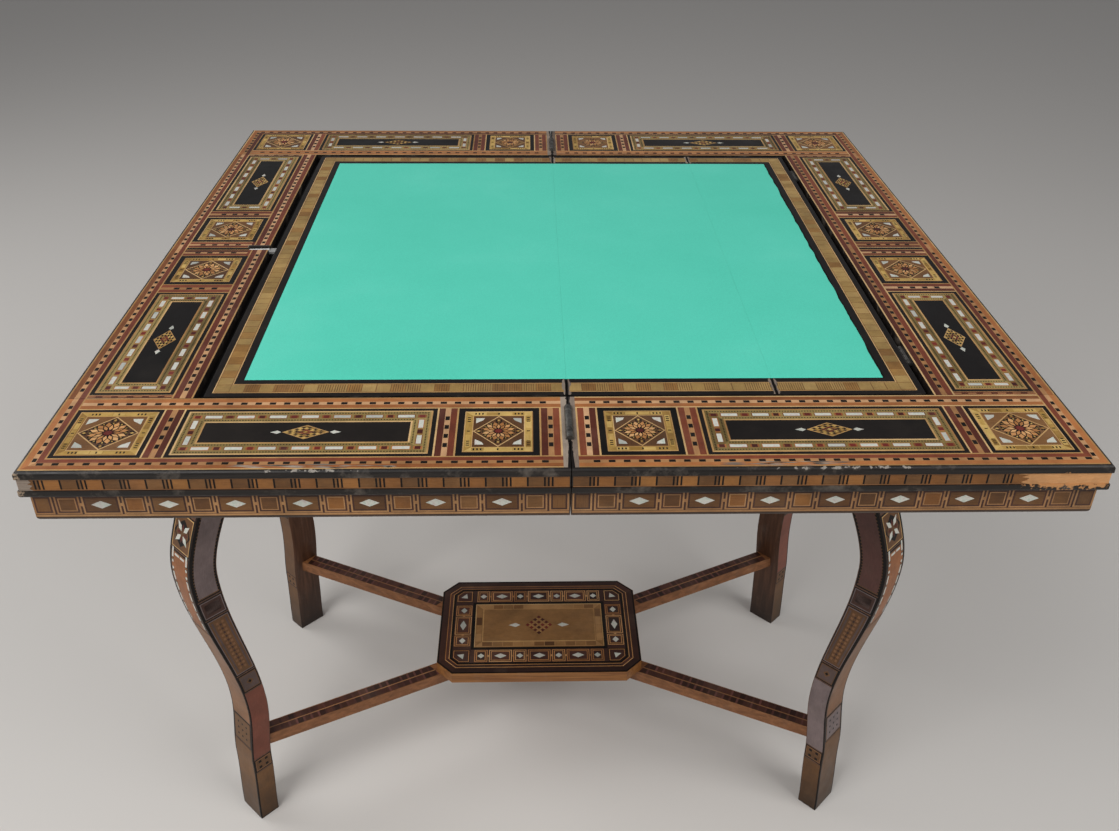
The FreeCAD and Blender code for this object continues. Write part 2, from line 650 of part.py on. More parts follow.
rails = {}
for side, (turn, reach, way) in RAILS.items():
    inside = f"({way} + {RAIL_SET} - rail_thick / 2)"
    outside = f"({way} + {RAIL_SET} + rail_thick / 2)"
    short = rail_half(reach, way, inside)
    full = rail_half(reach, way, outside)
    rail = doc.addObject("Part::Wedge", f"rail_{side}_blank")
    rail.Placement = FreeCAD.Placement(Vector(), FreeCAD.Rotation(UPRIGHT, turn))
    bind(rail, Ymin=inside, Ymax=outside, Xmin=f"-{short}", Xmax=short, X2min=f"-{full}", X2max=full)
    bind(rail, Zmin=RAIL_FLOOR, Z2min=RAIL_FLOOR, Zmax=RAIL_TOP, Z2max=RAIL_TOP)
    bind(rail, Placement__Base__x="-base_offset")
    rails[side] = rail

# Dowels between posts and rails, along the rails
dowels_in = {name: [] for name in list(FEET) + list(RAILS)}


def rail_dowels(foot, side, x, y, direction):
    """Two dowels one above the other, centred on the joint face."""
    dx, dy = direction
    for number, sign in enumerate((-1, 1)):
        z = f"({RAIL_TOP} - rail_height / 2 + {sign} * dowel_spread / 2)"
        start = (f"{x} - {dx} * dowel_length / 2", f"{y} - {dy} * dowel_length / 2", z)
        peg = rod(f"dowel_{foot}_{side}_{number}", "dowel_radius", "dowel_length", start, (dx, dy, 0))
        dowels_in[foot].append(peg)
        dowels_in[side].append(peg)


for foot, (sx, sy) in FEET.items():
    end, side = foot.split("_")
    middle_x = f"({FOOT_X} + {RAIL_SET})"
    middle_y = f"({FOOT_Y} + {RAIL_SET})"
    joint_x = rail_half(FOOT_X, FOOT_Y, middle_y)
    joint_y = rail_half(FOOT_Y, FOOT_X, middle_x)
    rail_dowels(foot, end, f"{sx} * {joint_x} - base_offset", f"{sy} * {middle_y}", (sx, 0))
    rail_dowels(foot, side, f"{sx} * {middle_x} - base_offset", f"{sy} * {joint_y}", (0, sy))
for foot, blank in leg_blanks.items():
    keep(f"leg_{foot}", cut(blank, *dowels_in[foot]))
for side, blank in rails.items():
    keep(f"rail_{side}", cut(blank, *dowels_in[side]))
keep("rail_dowels", group("rail_dowels", [peg for foot in FEET for peg in dowels_in[foot]]))

# Bearer between the front and rear rails
RAIL_INSIDE = f"({FOOT_Y} + {RAIL_SET} - rail_thick / 2)"
bearer = board(
    "bearer_blank",
    (f"{PIVOT_X} - bearer_width / 2", f"{PIVOT_X} + bearer_width / 2"),
    (f"-{RAIL_INSIDE}", RAIL_INSIDE),
    (BEARER_FLOOR, RAIL_TOP),
)
keep("pivot_bearer", cut(bearer, bolt_bore))

# Crossed stretchers, halved into each other, scribed to the legs
BAR_FLOOR = "(bar_top - bar_height)"
BAR_HALVING = "(bar_top - bar_height / 2)"
BAR_X = f"({FOOT_X} - (shin_inset + shin_width / 2) * {DIAGONAL})"
BAR_Y = f"({FOOT_Y} - (shin_inset + shin_width / 2) * {DIAGONAL})"
BAR_LENGTH = f"(2 * sqrt({BAR_X} * {BAR_X} + {BAR_Y} * {BAR_Y}))"
BAR_ANGLE = f"atan({BAR_Y} / {BAR_X})"


def bar(name, angle, low, high):
    """A level bar across the middle of the base at an angle to X."""
    box = doc.addObject("Part::Box", name)
    any_turn = 1
    box.Placement = FreeCAD.Placement(Vector(), FreeCAD.Rotation(UPRIGHT, any_turn))
    bind(box, Length=BAR_LENGTH, Width="bar_width", Height=f"{high} - {low}")
    bind(box, Placement__Rotation__Angle=angle)
    corner_x = f"sin({angle}) * bar_width / 2 - cos({angle}) * {BAR_LENGTH} / 2 - base_offset"
    corner_y = f"-sin({angle}) * {BAR_LENGTH} / 2 - cos({angle}) * bar_width / 2"
    bind(box, Placement__Base__x=corner_x, Placement__Base__y=corner_y, Placement__Base__z=low)
    return box


ANGLES = {"rising": BAR_ANGLE, "falling": f"(180 deg - {BAR_ANGLE})"}
screws_in = {"rising": [], "falling": []}
for kind, angle in ANGLES.items():
    for sign in (-1, 1):
        x = f"{sign} * cos({angle}) * shelf_screw_place - base_offset"
        y = f"{sign} * sin({angle}) * shelf_screw_place"
        name = f"shelf_screw_{kind}_{'near' if sign < 0 else 'far'}"
        length = "bar_height + shelf_screw_bite"
        screws_in[kind].append(rod(name, "shelf_screw_radius", length, (x, y, BAR_FLOOR), (0, 0, 1)))
joined = {
    "rising": (("front_left", "rear_right"), "falling", (BAR_HALVING, "bar_top")),
    "falling": (("front_right", "rear_left"), "rising", (BAR_FLOOR, BAR_HALVING)),
}
for kind, (feet, other, halving) in joined.items():
    blank = bar(f"stretcher_{kind}_blank", ANGLES[kind], BAR_FLOOR, "bar_top")
    notch = bar(f"stretcher_{kind}_notch", ANGLES[other], *halving)
    tools = [notch] + [leg_blanks[foot] for foot in feet] + screws_in[kind]
    keep(f"stretcher_{kind}", cut(blank, *tools))
shelf_screws = screws_in["rising"] + screws_in["falling"]
keep("shelf_screws", group("shelf_screws", shelf_screws))

# Shelf with canted corners
shelf = doc.addObject("Part::Box", "shelf_blank")
bind(shelf, Length="shelf_length", Width="shelf_depth", Height="shelf_thick")
bind(shelf, Placement__Base__x="-shelf_length / 2 - base_offset", Placement__Base__y="-shelf_depth / 2")
bind(shelf, Placement__Base__z="bar_top")
doc.recompute()
upright = [
    number
    for number, edge in enumerate(shelf.Shape.Edges, start=1)
    if near(edge.Vertexes[0].X, edge.Vertexes[-1].X) and near(edge.Vertexes[0].Y, edge.Vertexes[-1].Y)
]
canted = doc.addObject("Part::Chamfer", "shelf_canted")
canted.Base = shelf
canted.Edges = [(number, size("shelf_cant"), size("shelf_cant")) for number in upright]
keep("centre_shelf", cut(canted, *shelf_screws))

# Build, check and export
doc.recompute()
for thing in doc.Objects:
    if "Invalid" in thing.State or "Error" in thing.State:
        raise RuntimeError(f"{thing.Label} did not build")
os.makedirs("parts", exist_ok=True)
for label, thing in subparts.items():
    shape = thing.Shape
    if shape.isNull() or not shape.isValid() or not shape.Solids:
        raise RuntimeError(f"{label} has no valid solid")
    shape.exportStep(f"parts/{label}.step")
print(len(subparts), "sub-parts")
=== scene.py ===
"""Looks of the inlaid games table: veneers, pearl, baize, metal, floor, light and camera.

Sizes are in millimetres until a mesh is made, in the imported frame: +X right, -Y front, +Z up. An inlay is a
list of tiles (wood, polygons, level): equal polygons of one wood, at one height above the board.
"""
import functools
import math

import bpy
import numpy as np
from mathutils import Matrix, Vector


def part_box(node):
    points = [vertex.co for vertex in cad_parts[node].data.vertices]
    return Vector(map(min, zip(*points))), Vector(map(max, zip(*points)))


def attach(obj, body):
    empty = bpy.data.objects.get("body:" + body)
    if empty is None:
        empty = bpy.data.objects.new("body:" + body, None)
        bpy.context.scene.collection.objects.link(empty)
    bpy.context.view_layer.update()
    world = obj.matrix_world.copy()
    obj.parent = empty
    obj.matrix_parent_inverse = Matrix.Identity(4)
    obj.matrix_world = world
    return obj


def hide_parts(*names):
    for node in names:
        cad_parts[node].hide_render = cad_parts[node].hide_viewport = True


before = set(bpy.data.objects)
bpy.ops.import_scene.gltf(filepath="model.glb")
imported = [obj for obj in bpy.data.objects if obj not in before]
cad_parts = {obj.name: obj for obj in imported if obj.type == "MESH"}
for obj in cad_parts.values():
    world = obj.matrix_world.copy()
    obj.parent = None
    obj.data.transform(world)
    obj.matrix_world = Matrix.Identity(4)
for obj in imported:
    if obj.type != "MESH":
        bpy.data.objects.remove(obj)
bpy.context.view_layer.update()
MM = 0.001
rng = np.random.default_rng(7)
LOW, HIGH = 0, 1
X, Y, Z = 0, 1, 2


def box_mm(name):
    """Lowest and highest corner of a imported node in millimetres."""
    low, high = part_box(name)
    return np.array(low) / MM, np.array(high) / MM


# Places read from the frame
EDGE = -box_mm("left_border_front")[LOW][X]
SEAM = -box_mm("left_border_front")[HIGH][X]
SLAB_FLOOR = box_mm("left_border_front")[LOW][Z]
OPENING = -box_mm("left_border_outer")[HIGH][X]
TOP = box_mm("left_border_outer")[HIGH][Z]
APRON = -box_mm("left_apron_front")[LOW][Y]
APRON_FLOOR = box_mm("left_apron_front")[LOW][Z]
BOARD_LEFT = box_mm("left_board")[LOW][X]
BOARD_RIGHT = box_mm("right_board_narrow")[HIGH][X]
BOARD_END = box_mm("left_board")[HIGH][Y]
BOARD_TOP = box_mm("left_board")[HIGH][Z]
SPLIT_LEFT = box_mm("right_board_wide")[HIGH][X]
SPLIT_RIGHT = box_mm("right_board_narrow")[LOW][X]
CLOTH_END = box_mm("left_baize")[HIGH][Y]
CATCH_LOW, CATCH_HIGH = box_mm("board_catch")
SHELF_LOW, SHELF_HIGH = box_mm("centre_shelf")
SHUT_LOW, SHUT_HIGH = box_mm("right_bottom_board")
BAR_TOP = box_mm("stretcher_rising")[HIGH][Z]
BASE_X = (SHELF_LOW[X] + SHELF_HIGH[X]) / 2

# Heights of the veneer layers above a board, a hair of height, and how deep every tile reaches into it
LAYERS = [0.08, 0.14, 0.20, 0.26, 0.32, 0.38]
HAIR, SUNK = 0.03, 0.05
# Ranges of tone, from 0, dark, to 1, light: any veneer, strips cut from one veneer, blocks of like wood
ANY_TONES, EVEN_TONES, LIKE_TONES = (0, 1), (0.4, 0.65), (0.35, 0.8)
# The four mirrored places of a corner
FOUR_WAYS = np.array([[1, 1], [-1, 1], [1, -1], [-1, -1]])


# Polygons

def bars(u0, u1, v0, v1):
    """Rectangles between low and high sides, one for each entry of the four numbers or arrays."""
    u0, u1, v0, v1 = np.broadcast_arrays(*np.atleast_1d(u0, u1, v0, v1))
    u = np.stack([u0, u1, u1, u0], -1)
    v = np.stack([v0, v0, v1, v1], -1)
    return np.stack([u, v], -1).astype(float)


def frame_strips(u, v, width):
    """Four mitred strips: the ring between a rectangle of half sizes u, v and one smaller by a width."""
    a, b = u - width, v - width
    ring = np.array([[-u, -v], [u, -v], [u, v], [-u, v]], float)
    inner = np.array([[-a, -b], [a, -b], [a, b], [-a, b]], float)
    return np.stack([ring, np.roll(ring, -1, 0), np.roll(inner, -1, 0), inner], 1)


def lozenges(u, v, half_u, half_v):
    """Rhombs with their corners at half_u left and right and half_v above and below each centre."""
    u, v = np.broadcast_arrays(*np.atleast_1d(u, v))
    across = np.stack([u - half_u, u, u + half_u, u], -1)
    along = np.stack([v, v - half_v, v, v + half_v], -1)
    return np.stack([across, along], -1).astype(float)


def kites(count, start, inner, middle, outer, spread):
    """Petals round the origin, at equal angles from a start: inner tip, shoulder, outer tip, shoulder."""
    turn = start + np.arange(count) * 2 * math.pi / count
    angle = turn[:, None] + np.array([0, -spread, 0, spread])
    radius = np.array([inner, middle, outer, middle])
    return np.stack([radius * np.cos(angle), radius * np.sin(angle)], -1)


def star(points, inner, outer):
    """One star: its corners lie on two circles in turn."""
    angle = np.arange(2 * points) * math.pi / points
    radius = np.where(np.arange(2 * points) % 2, inner, outer)
    return np.stack([radius * np.cos(angle), radius * np.sin(angle)], -1)[None]


def placed(tiles, u, v, quarter_turns=0):
    """Tiles turned by quarter turns and moved to a new middle."""
    angle = quarter_turns * math.pi / 2
    turn = np.array([[math.cos(angle), -math.sin(angle)], [math.sin(angle), math.cos(angle)]])
    return [(wood, polygons @ turn.T + [u, v], level) for wood, polygons, level in tiles]


def mirrored(tiles, flip_u, flip_v):
    """Tiles mirrored across one or both middle lines."""
    return [(wood, polygons * [flip_u, flip_v], level) for wood, polygons, level in tiles]


def steps(length, pitch):
    """Middles of as many equal stretches as fit a length, about a pitch long, and their exact pitch."""
    count = max(1, round(length / pitch))
    return (np.arange(count) + 0.5) * length / count - length / 2, length / count


def four_sides(u, v, side):
    """Tiles along all sides of a rectangle of half sizes u, v.

    A side is drawn as the upper one by a function of its length and of its distance from the middle.
    """
    tiles = []
    for length, depth, turns in ((2 * u, v, 0), (2 * v, u, 1)):
        for half_turn in (0, 2):
            tiles += placed(side(length, depth), 0, 0, turns + half_turn)
    return tiles


def ragged(u0, u1, v0, v1, count, bite):
    """One tile along v whose right side is broken: small seeded steps of up to a bite."""
    v = np.linspace(v0, v1, count)
    u = u1 - rng.uniform(0, bite, count)
    left = np.array([[u0, v1], [u0, v0]])
    return np.concatenate([np.stack([u, v], -1), left])[None]


def span(low, high):
    """Middle and half length of a stretch."""
    return (low + high) / 2, (high - low) / 2


# Meshes

GRAIN_ROOM = 900


def slab_arrays(polygons, level, surface):
    """Closed slabs: each polygon at its level and once more inside the board, with walls between them."""
    count, corners = polygons.shape[:2]
    after = np.roll(polygons, -1, 1)
    area = (polygons[..., 0] * after[..., 1] - after[..., 0] * polygons[..., 1]).sum(1)
    polygons = np.where(area[:, None, None] < 0, polygons[:, ::-1], polygons)
    top = surface(polygons[..., 0], polygons[..., 1], level)
    low = surface(polygons[..., 0], polygons[..., 1], -SUNK)
    vertices = np.stack([top, low], 1).reshape(-1, 3)
    first = (np.arange(count) * 2 * corners)[:, None]
    ring = np.arange(corners)
    following = np.roll(ring, -1)
    walls = np.stack([corners + ring, corners + following, following, ring], -1).reshape(-1)
    loops = np.concatenate([ring, corners + ring[::-1], walls])
    totals = np.concatenate([[corners, corners], np.full(corners, 4)])
    return polygons, vertices, (first + loops).reshape(-1), np.tile(totals, count)


def inlay(name, laid, body, tones=ANY_TONES, even=False):
    """Mesh of many slabs from (tiles, surface) pairs, with a UV map in millimetres, U along the grain.

    Each slab has a tone of its own or, where strips are even, each strip has one. The map starts at a seeded
    place for each tone, so that no two slabs show the same grain.
    """
    vertices, loops, totals, slots, shades, grain = [], [], [], [], [], []
    pieces = [(*tile, surface) for tiles, surface in laid for tile in tiles]
    woods = list(dict.fromkeys(piece[0] for piece in pieces))
    start = 0
    for wood, polygons, level, surface in pieces:
        count, corners = polygons.shape[:2]
        polygons, points, loop, total = slab_arrays(polygons, level, surface)
        extent = np.ptp(polygons, axis=1)
        own = 1 if even else count
        upright = (extent[:, 1] > extent[:, 0])[:, None, None] | even
        flat = np.where(upright, polygons[..., ::-1], polygons) + rng.uniform(0, GRAIN_ROOM, (own, 1, 2))
        vertices.append(points)
        loops.append(loop + start)
        totals.append(total)
        slots.append(np.full(count * (corners + 2), woods.index(wood)))
        shades.append(np.repeat(np.broadcast_to(rng.uniform(*tones, own), count), corners + 2))
        grain.append(np.repeat(flat[:, None], 2, 1).reshape(-1, 2)[loop])
        start += len(points)
    loops, totals = np.concatenate(loops), np.concatenate(totals)
    starts = np.concatenate([[0], np.cumsum(totals)[:-1]])
    mesh = bpy.data.meshes.new(name)
    mesh.vertices.add(start)
    mesh.vertices.foreach_set("co", (np.concatenate(vertices) * MM).astype(np.float32).ravel())
    mesh.loops.add(len(loops))
    mesh.loops.foreach_set("vertex_index", loops.astype(np.int32))
    mesh.polygons.add(len(totals))
    mesh.polygons.foreach_set("loop_start", starts.astype(np.int32))
    mesh.polygons.foreach_set("material_index", np.concatenate(slots).astype(np.int32))
    grain_map = mesh.uv_layers.new(name="grain")
    grain_map.uv.foreach_set("vector", np.concatenate(grain).astype(np.float32).ravel())
    tone = mesh.attributes.new("tone", "FLOAT", "FACE")
    tone.data.foreach_set("value", np.concatenate(shades).astype(np.float32))
    for wood in woods:
        mesh.materials.append(VENEERS[wood])
    mesh.update(calc_edges=True)
    mesh.shade_flat()
    shown(name, mesh, body)


def shown(name, mesh, body):
    """Link a finished mesh at the origin and let it ride on a body."""
    piece = bpy.data.objects.new(name, mesh)
    bpy.context.scene.collection.objects.link(piece)
    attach(piece, body)
    return piece


def level_surface(height):
    """Places on a level board: u is X, v is Y."""
    return lambda u, v, rise: np.stack([u, v, np.full(np.shape(u), height + rise)], -1)


def upright_surface(middle, outward):
    """Places on an upright board: u runs to the right as seen from outside, v up, from a middle point."""
    outward = np.array(outward, float)
    along = np.array([-outward[Y], outward[X], 0])
    up = np.array([0, 0, 1.0])
    middle = np.array(middle, float)
    return lambda u, v, rise: middle + u[..., None] * along + v[..., None] * up + rise * outward


# Materials

def linear(code):
    """Linear colour of an sRGB hex value."""
    srgb = np.array([int(code[i:i + 2], 16) for i in (1, 3, 5)]) / 255
    value = np.where(srgb <= 0.04045, srgb / 12.92, ((srgb + 0.055) / 1.055) ** 2.4)
    return (*value.tolist(), 1.0)


def fill(made, inputs):
    """Give a node's sockets, by name or number, a value, or a link where it is another node's socket."""
    for key, value in inputs.items():
        if isinstance(value, bpy.types.NodeSocket):
            made.id_data.links.new(value, made.inputs[key])
        else:
            made.inputs[key].default_value = value


def node(tree, kind, inputs=None, out=0, stops=(), **settings):
    """Add a shader node with its settings, inputs and, on a ramp, (place, hex) stops; gives one output."""
    made = tree.nodes.new("ShaderNode" + kind)
    for key, value in settings.items():
        setattr(made, key, value)
    fill(made, inputs or {})
    for index, (place, code) in enumerate(stops):
        elements = made.color_ramp.elements
        while len(elements) < len(stops):
            elements.new(0.5)
        elements[index].position = place
        elements[index].color = linear(code)
    return made.outputs[out]


def material(name):
    """New material: gives it, a function that adds nodes to it, and its principled shader."""
    made = bpy.data.materials.new(name)
    made.use_nodes = True
    return made, functools.partial(node, made.node_tree), made.node_tree.nodes["Principled BSDF"]


def grained(add, coordinates, stretch, seed):
    """Grain 0 to 1: noise drawn out along one axis by its stretch, with finer pores laid over it."""
    scaled = add("Mapping", {"Vector": coordinates, "Scale": stretch, "Location": (seed, seed, 0)})
    return add("TexNoise", {"Vector": scaled, "Scale": 1.0, "Detail": 5.0, "Roughness": 0.62,
                            "Distortion": 0.6})


TONE_SHARE = 0.55


def veneer(name, dark, middle, light, roughness=0.36, dulled=0.07, gloss=0.32):
    """Sawn veneer under old satin varnish: grain along the tile, a tone for each tile, dull patches."""
    made, add, shader = material(name)
    tone = add("Attribute", out="Fac", attribute_name="tone")
    place = add("TexCoord", out="Object")
    # streaks about 12 mm long and 0.8 mm wide on a map in millimetres
    grain = grained(add, add("UVMap", uv_map="grain"), (0.08, 1.2, 1.0), 0.0)
    own = add("Math", {0: tone, 1: TONE_SHARE}, operation="MULTIPLY")
    shade = add("Math", {0: grain, 1: 1.0 - TONE_SHARE, 2: own}, operation="MULTIPLY_ADD")
    colour = add("ValToRGB", {"Fac": shade}, stops=((0.25, dark), (0.5, middle), (0.75, light)))
    # dirt in the varnish, in clouds of about 40 mm and specks of about 3 mm
    cloud = add("TexNoise", {"Vector": place, "Scale": 26.0, "Detail": 9.0, "Roughness": 0.72})
    dirt = add("MapRange", {"Value": cloud, "From Min": 0.32, "From Max": 0.6, "To Min": 0.66,
                            "To Max": 1.04})
    colour = add("VectorMath", {0: colour, 1: dirt}, operation="MULTIPLY")
    # dull patches of worn varnish, about 60 mm across
    wear = add("TexNoise", {"Vector": place, "Scale": 17.0, "Detail": 6.0, "Roughness": 0.7})
    # grime that darkens the lowest 80 mm above the floor, with a ragged upper edge
    height = add("SeparateXYZ", {"Vector": place}, out="Z")
    edge = add("Math", {0: wear, 1: 0.06, 2: height}, operation="MULTIPLY_ADD")
    grime = add("MapRange", {"Value": edge, "From Min": 0.03, "From Max": 0.11, "To Min": 0.35,
                             "To Max": 1.0})
    colour = add("VectorMath", {0: colour, 1: grime}, operation="MULTIPLY")
    dull = add("MapRange", {"Value": wear, "From Min": 0.5, "From Max": 0.8, "To Max": dulled})
    colour = add("Mix", {"Factor": dull, 6: colour, 7: linear("#B8A894")}, out=2, data_type="RGBA")
    rough = add("MapRange", {"Value": wear, "From Min": 0.3, "From Max": 0.75, "To Min": roughness - 0.06,
                             "To Max": roughness + 0.2})
    bump = add("Bump", {"Height": grain, "Strength": 0.12, "Distance": 0.0002})
    fill(shader, {"Base Color": colour, "Specular IOR Level": gloss, "Roughness": rough, "Normal": bump})
    return made


def pearl_shell():
    """Ground mother of pearl: milky, with faint pink and green clouds, some slips greyer than others."""
    made, add, shader = material("mother_of_pearl_ground")
    tone = add("Attribute", out="Fac", attribute_name="tone")
    # clouds about 4 mm across
    cloud = add("TexNoise", {"Vector": add("UVMap", uv_map="grain"), "Scale": 0.25, "Detail": 3.0})
    tint = add("ValToRGB", {"Fac": cloud}, stops=((0.3, "#A9B3A8"), (0.5, "#C6C6BA"), (0.7, "#BDAEA8")))
    grey = add("MapRange", {"Value": tone, "From Min": 0.6, "From Max": 1.0, "To Max": 0.55})
    colour = add("Mix", {"Factor": grey, 6: tint, 7: linear("#7D827C")}, out=2, data_type="RGBA")
    fill(shader, {"Base Color": colour, "Roughness": 0.22, "Coat Weight": 0.3})
    return made


def spot(add, place, noise, middle, reach, fullness):
    """Patch round a point, 1 inside and 0 outside; noise breaks it into flecks, more if it is less full."""
    away = add("VectorMath", {0: place, 1: middle}, operation="SUBTRACT")
    scaled = add("VectorMath", {0: away, 1: reach}, operation="DIVIDE")
    length = add("VectorMath", {0: scaled}, out="Value", operation="LENGTH")
    broken = add("Math", {0: noise, 1: 3.0, 2: length}, operation="MULTIPLY_ADD")
    return add("MapRange", {"Value": broken, "From Min": fullness, "From Max": fullness + 0.2, "To Min": 1.0,
                            "To Max": 0.0})


def solid_wood(name, dark, middle, light, stretch, roughness=0.45, foot=None, worn=0.18, bared=()):
    """Solid wood, planed or sawn, with its grain along one axis; worn is how far rubbed patches pale.

    A foot colour darkens the lowest end, where it is scuffed. Bared spots are (colour, middle, reach,
    fullness), in metres.
    """
    made, add, shader = material(name)
    place = add("TexCoord", out="Object")
    grain = grained(add, place, stretch, 3.0)
    colour = add("ValToRGB", {"Fac": grain}, stops=((0.3, dark), (0.5, middle), (0.72, light)))
    # rubbed patches, about 40 mm across
    wear = add("TexNoise", {"Vector": place, "Scale": 24.0, "Detail": 6.0, "Roughness": 0.7})
    if foot:
        height = add("SeparateXYZ", {"Vector": place}, out="Z")
        edge = add("Math", {0: wear, 1: 0.05, 2: height}, operation="MULTIPLY_ADD")
        low = add("MapRange", {"Value": edge, "From Min": 0.03, "From Max": 0.12, "To Min": 0.9,
                               "To Max": 0.0})
        colour = add("Mix", {"Factor": low, 6: colour, 7: linear(foot)}, out=2, data_type="RGBA")
    dull = add("MapRange", {"Value": wear, "From Min": 0.55, "From Max": 0.8, "To Max": worn})
    colour = add("Mix", {"Factor": dull, 6: colour, 7: linear("#A79A8C")}, out=2, data_type="RGBA")
    # chips about 5 mm across
    chips = add("TexNoise", {"Vector": place, "Scale": 200.0, "Detail": 4.0, "Roughness": 0.6})
    for code, spot_middle, reach, fullness in bared:
        patch = spot(add, place, chips, spot_middle, reach, fullness)
        colour = add("Mix", {"Factor": patch, 6: colour, 7: linear(code)}, out=2, data_type="RGBA")
    rough = add("MapRange", {"Value": wear, "From Min": 0.3, "From Max": 0.75, "To Min": roughness - 0.08,
                             "To Max": roughness + 0.2})
    bump = add("Bump", {"Height": grain, "Strength": 0.2, "Distance": 0.0003})
    fill(shader, {"Base Color": colour, "Specular IOR Level": 0.35, "Roughness": rough, "Normal": bump})
    return made


def metal(name, dark, light, roughness, bare=1.0):
    """Old iron or steel fitting: rolled, handled, dull brown in the hollows; bare is the metallic share, and
    the rest shows the colour as diffuse, which on the near-white catch strip is painted highlight.
    """
    made, add, shader = material(name)
    # stains about 5 mm across
    stain = add("TexNoise", {"Vector": add("TexCoord", out="Object"), "Scale": 200.0, "Detail": 6.0,
                             "Roughness": 0.65})
    colour = add("ValToRGB", {"Fac": stain}, stops=((0.35, dark), (0.65, light)))
    rough = add("MapRange", {"Value": stain, "From Min": 0.3, "From Max": 0.7, "To Min": roughness + 0.2,
                             "To Max": roughness})
    fill(shader, {"Base Color": colour, "Metallic": bare, "Roughness": rough})
    return made


def wool_baize():
    """Felted wool cloth: short fibres all ways, soft sheen, faint pale rubbed patches."""
    made, add, shader = material("baize_felted_wool")
    place = add("TexCoord", out="Object")
    # fibres about 1 mm apart, drawn as coarse as the picture needs, and patches about 200 mm across
    fibre = add("TexNoise", {"Vector": place, "Scale": 900.0, "Detail": 3.0, "Roughness": 0.7})
    patch = add("TexNoise", {"Vector": place, "Scale": 5.0, "Detail": 5.0, "Roughness": 0.6})
    base = add("ValToRGB", {"Fac": patch}, stops=((0.3, "#4CC4AB"), (0.55, "#52C8B0"), (0.75, "#5CCCB5")))
    fleck = add("MapRange", {"Value": fibre, "From Min": 0.3, "From Max": 0.7, "To Min": 0.9,
                             "To Max": 1.06})
    colour = add("VectorMath", {0: base, 1: fleck}, operation="MULTIPLY")
    bump = add("Bump", {"Height": fibre, "Strength": 0.25, "Distance": 0.0004})
    fill(shader, {"Base Color": colour, "Roughness": 0.95, "Sheen Weight": 0.08, "Sheen Roughness": 0.5,
                  "Specular IOR Level": 0.1, "Normal": bump})
    return made


VENEERS = {
    # near black and quiet, the ground of frames and fields
    "ebony": veneer("pearwood_veneer_stained_black", "#0E0B09", "#14100F", "#1C1714", 0.34, 0.02, 0.16),
    # red-brown bands, squares and grounds
    "rosewood": veneer("rosewood_veneer_sawn", "#4A1E10", "#642C1A", "#7E3F25"),
    "padauk": veneer("padauk_veneer_faded", "#5A2C20", "#77402F", "#8D5340"),
    "sapele": veneer("sapele_veneer_dark_sawn", "#3E241E", "#523029", "#674039"),
    "mahogany": veneer("mahogany_veneer_dark_sawn", "#2C1812", "#3E231A", "#523024"),
    "redheart": veneer("dyed_wood_veneer_red", "#3A100C", "#551A13", "#6E241A"),
    # warm browns from dark to pale
    "walnut": veneer("walnut_veneer_sawn", "#4A2D16", "#634020", "#7C552E"),
    "umber": veneer("walnut_veneer_dark_sawn", "#4E3018", "#684523", "#805831"),
    "honey": veneer("walnut_veneer_pale_sawn", "#6C4A22", "#896230", "#A07A42"),
    "amber": veneer("pearwood_veneer_oiled", "#6C421D", "#855528", "#9C6A35"),
    "fruitwood": veneer("pearwood_veneer_sawn", "#6A4429", "#835938", "#9A6E49"),
    "apricot": veneer("apricot_veneer_sawn", "#6C3D1C", "#8A5128", "#A86A3A"),
    "straw": veneer("apricot_veneer_plain_sawn", "#75512F", "#90683C", "#A87E4F"),
    # yellows of the blocks
    "boxwood": veneer("boxwood_veneer_sawn", "#7C5E30", "#967844", "#AC8E58"),
    "olive": veneer("olivewood_veneer_sawn", "#68552B", "#867040", "#9E8750"),
    "lemon": veneer("lemonwood_veneer_sawn", "#876329", "#AA8743", "#C6A560"),
    # pale lines, petals and dash strips
    "cherry": veneer("cherry_stringing_sawn", "#7E5634", "#9A6F46", "#B08557"),
    "tan": veneer("apricot_veneer_pale_sawn", "#A06A38", "#BD8650", "#D2A26C"),
    "blush": veneer("plane_veneer_pale_sawn", "#96693F", "#B18357", "#C69C74"),
    "maple": veneer("maple_stringing_sawn", "#9A7040", "#B68E58", "#CDA976"),
    # violet greys of the legs
    "aubergine": veneer("dyed_wood_veneer_brown_violet", "#3E2E2A", "#53403B", "#6A554E"),
    "slate": veneer("dyed_wood_veneer_grey_violet", "#5C4D4B", "#776766", "#8F7F7D"),
    # bare core where a strip has broken off, and grey rubbed wood
    "bare": veneer("beech_core_bared", "#A9713F", "#C68F5C", "#D8A876", 0.6),
    "scuffed": veneer("wood_scuffed_grey", "#5C4D42", "#796A5E", "#988A7C", 0.65),
    "pearl": pearl_shell(),
}


# Inlay designs, each drawn round its own middle

# guard strips: edge line and dash strip as shares of the width, room beside a dash, dash pitch and share
GUARD_LINE, GUARD_STRIP, DASH_ROOM = 0.08, 0.26, 0.12
DASH_PITCH, DASH_SHARE = 12.5, 0.44
# petals of a rosette: (wood, half petals turned, inner, shoulder, outer, spread), in radii and half petals
PETALS = 12
PETAL_RINGS = (("tan", 0, 0.25, 0.48, 0.74, 0.8), ("tan", 1, 0.54, 0.78, 0.99, 0.74),
               ("lemon", 0, 0.8, 0.89, 0.98, 0.2))
# inner circle of its black round, and both circles of the red star, in radii
ROUND_IN, HEART_IN, HEART_OUT = 0.97, 0.16, 0.3
# star squares: lines outside and inside the yellow band, the band, its blocks and its ticks
SQUARE_LINE, SQUARE_THREAD, SQUARE_BAND = 0.9, 0.7, 6.2
BLOCK_PITCH, BLOCK_HALF, TICKS_FROM, TICKS_TO = 11, 0.46, 0.72, 0.28
TICK, TICK_GAP, TICK_PLACE = 1.3, 3.0, 0.3
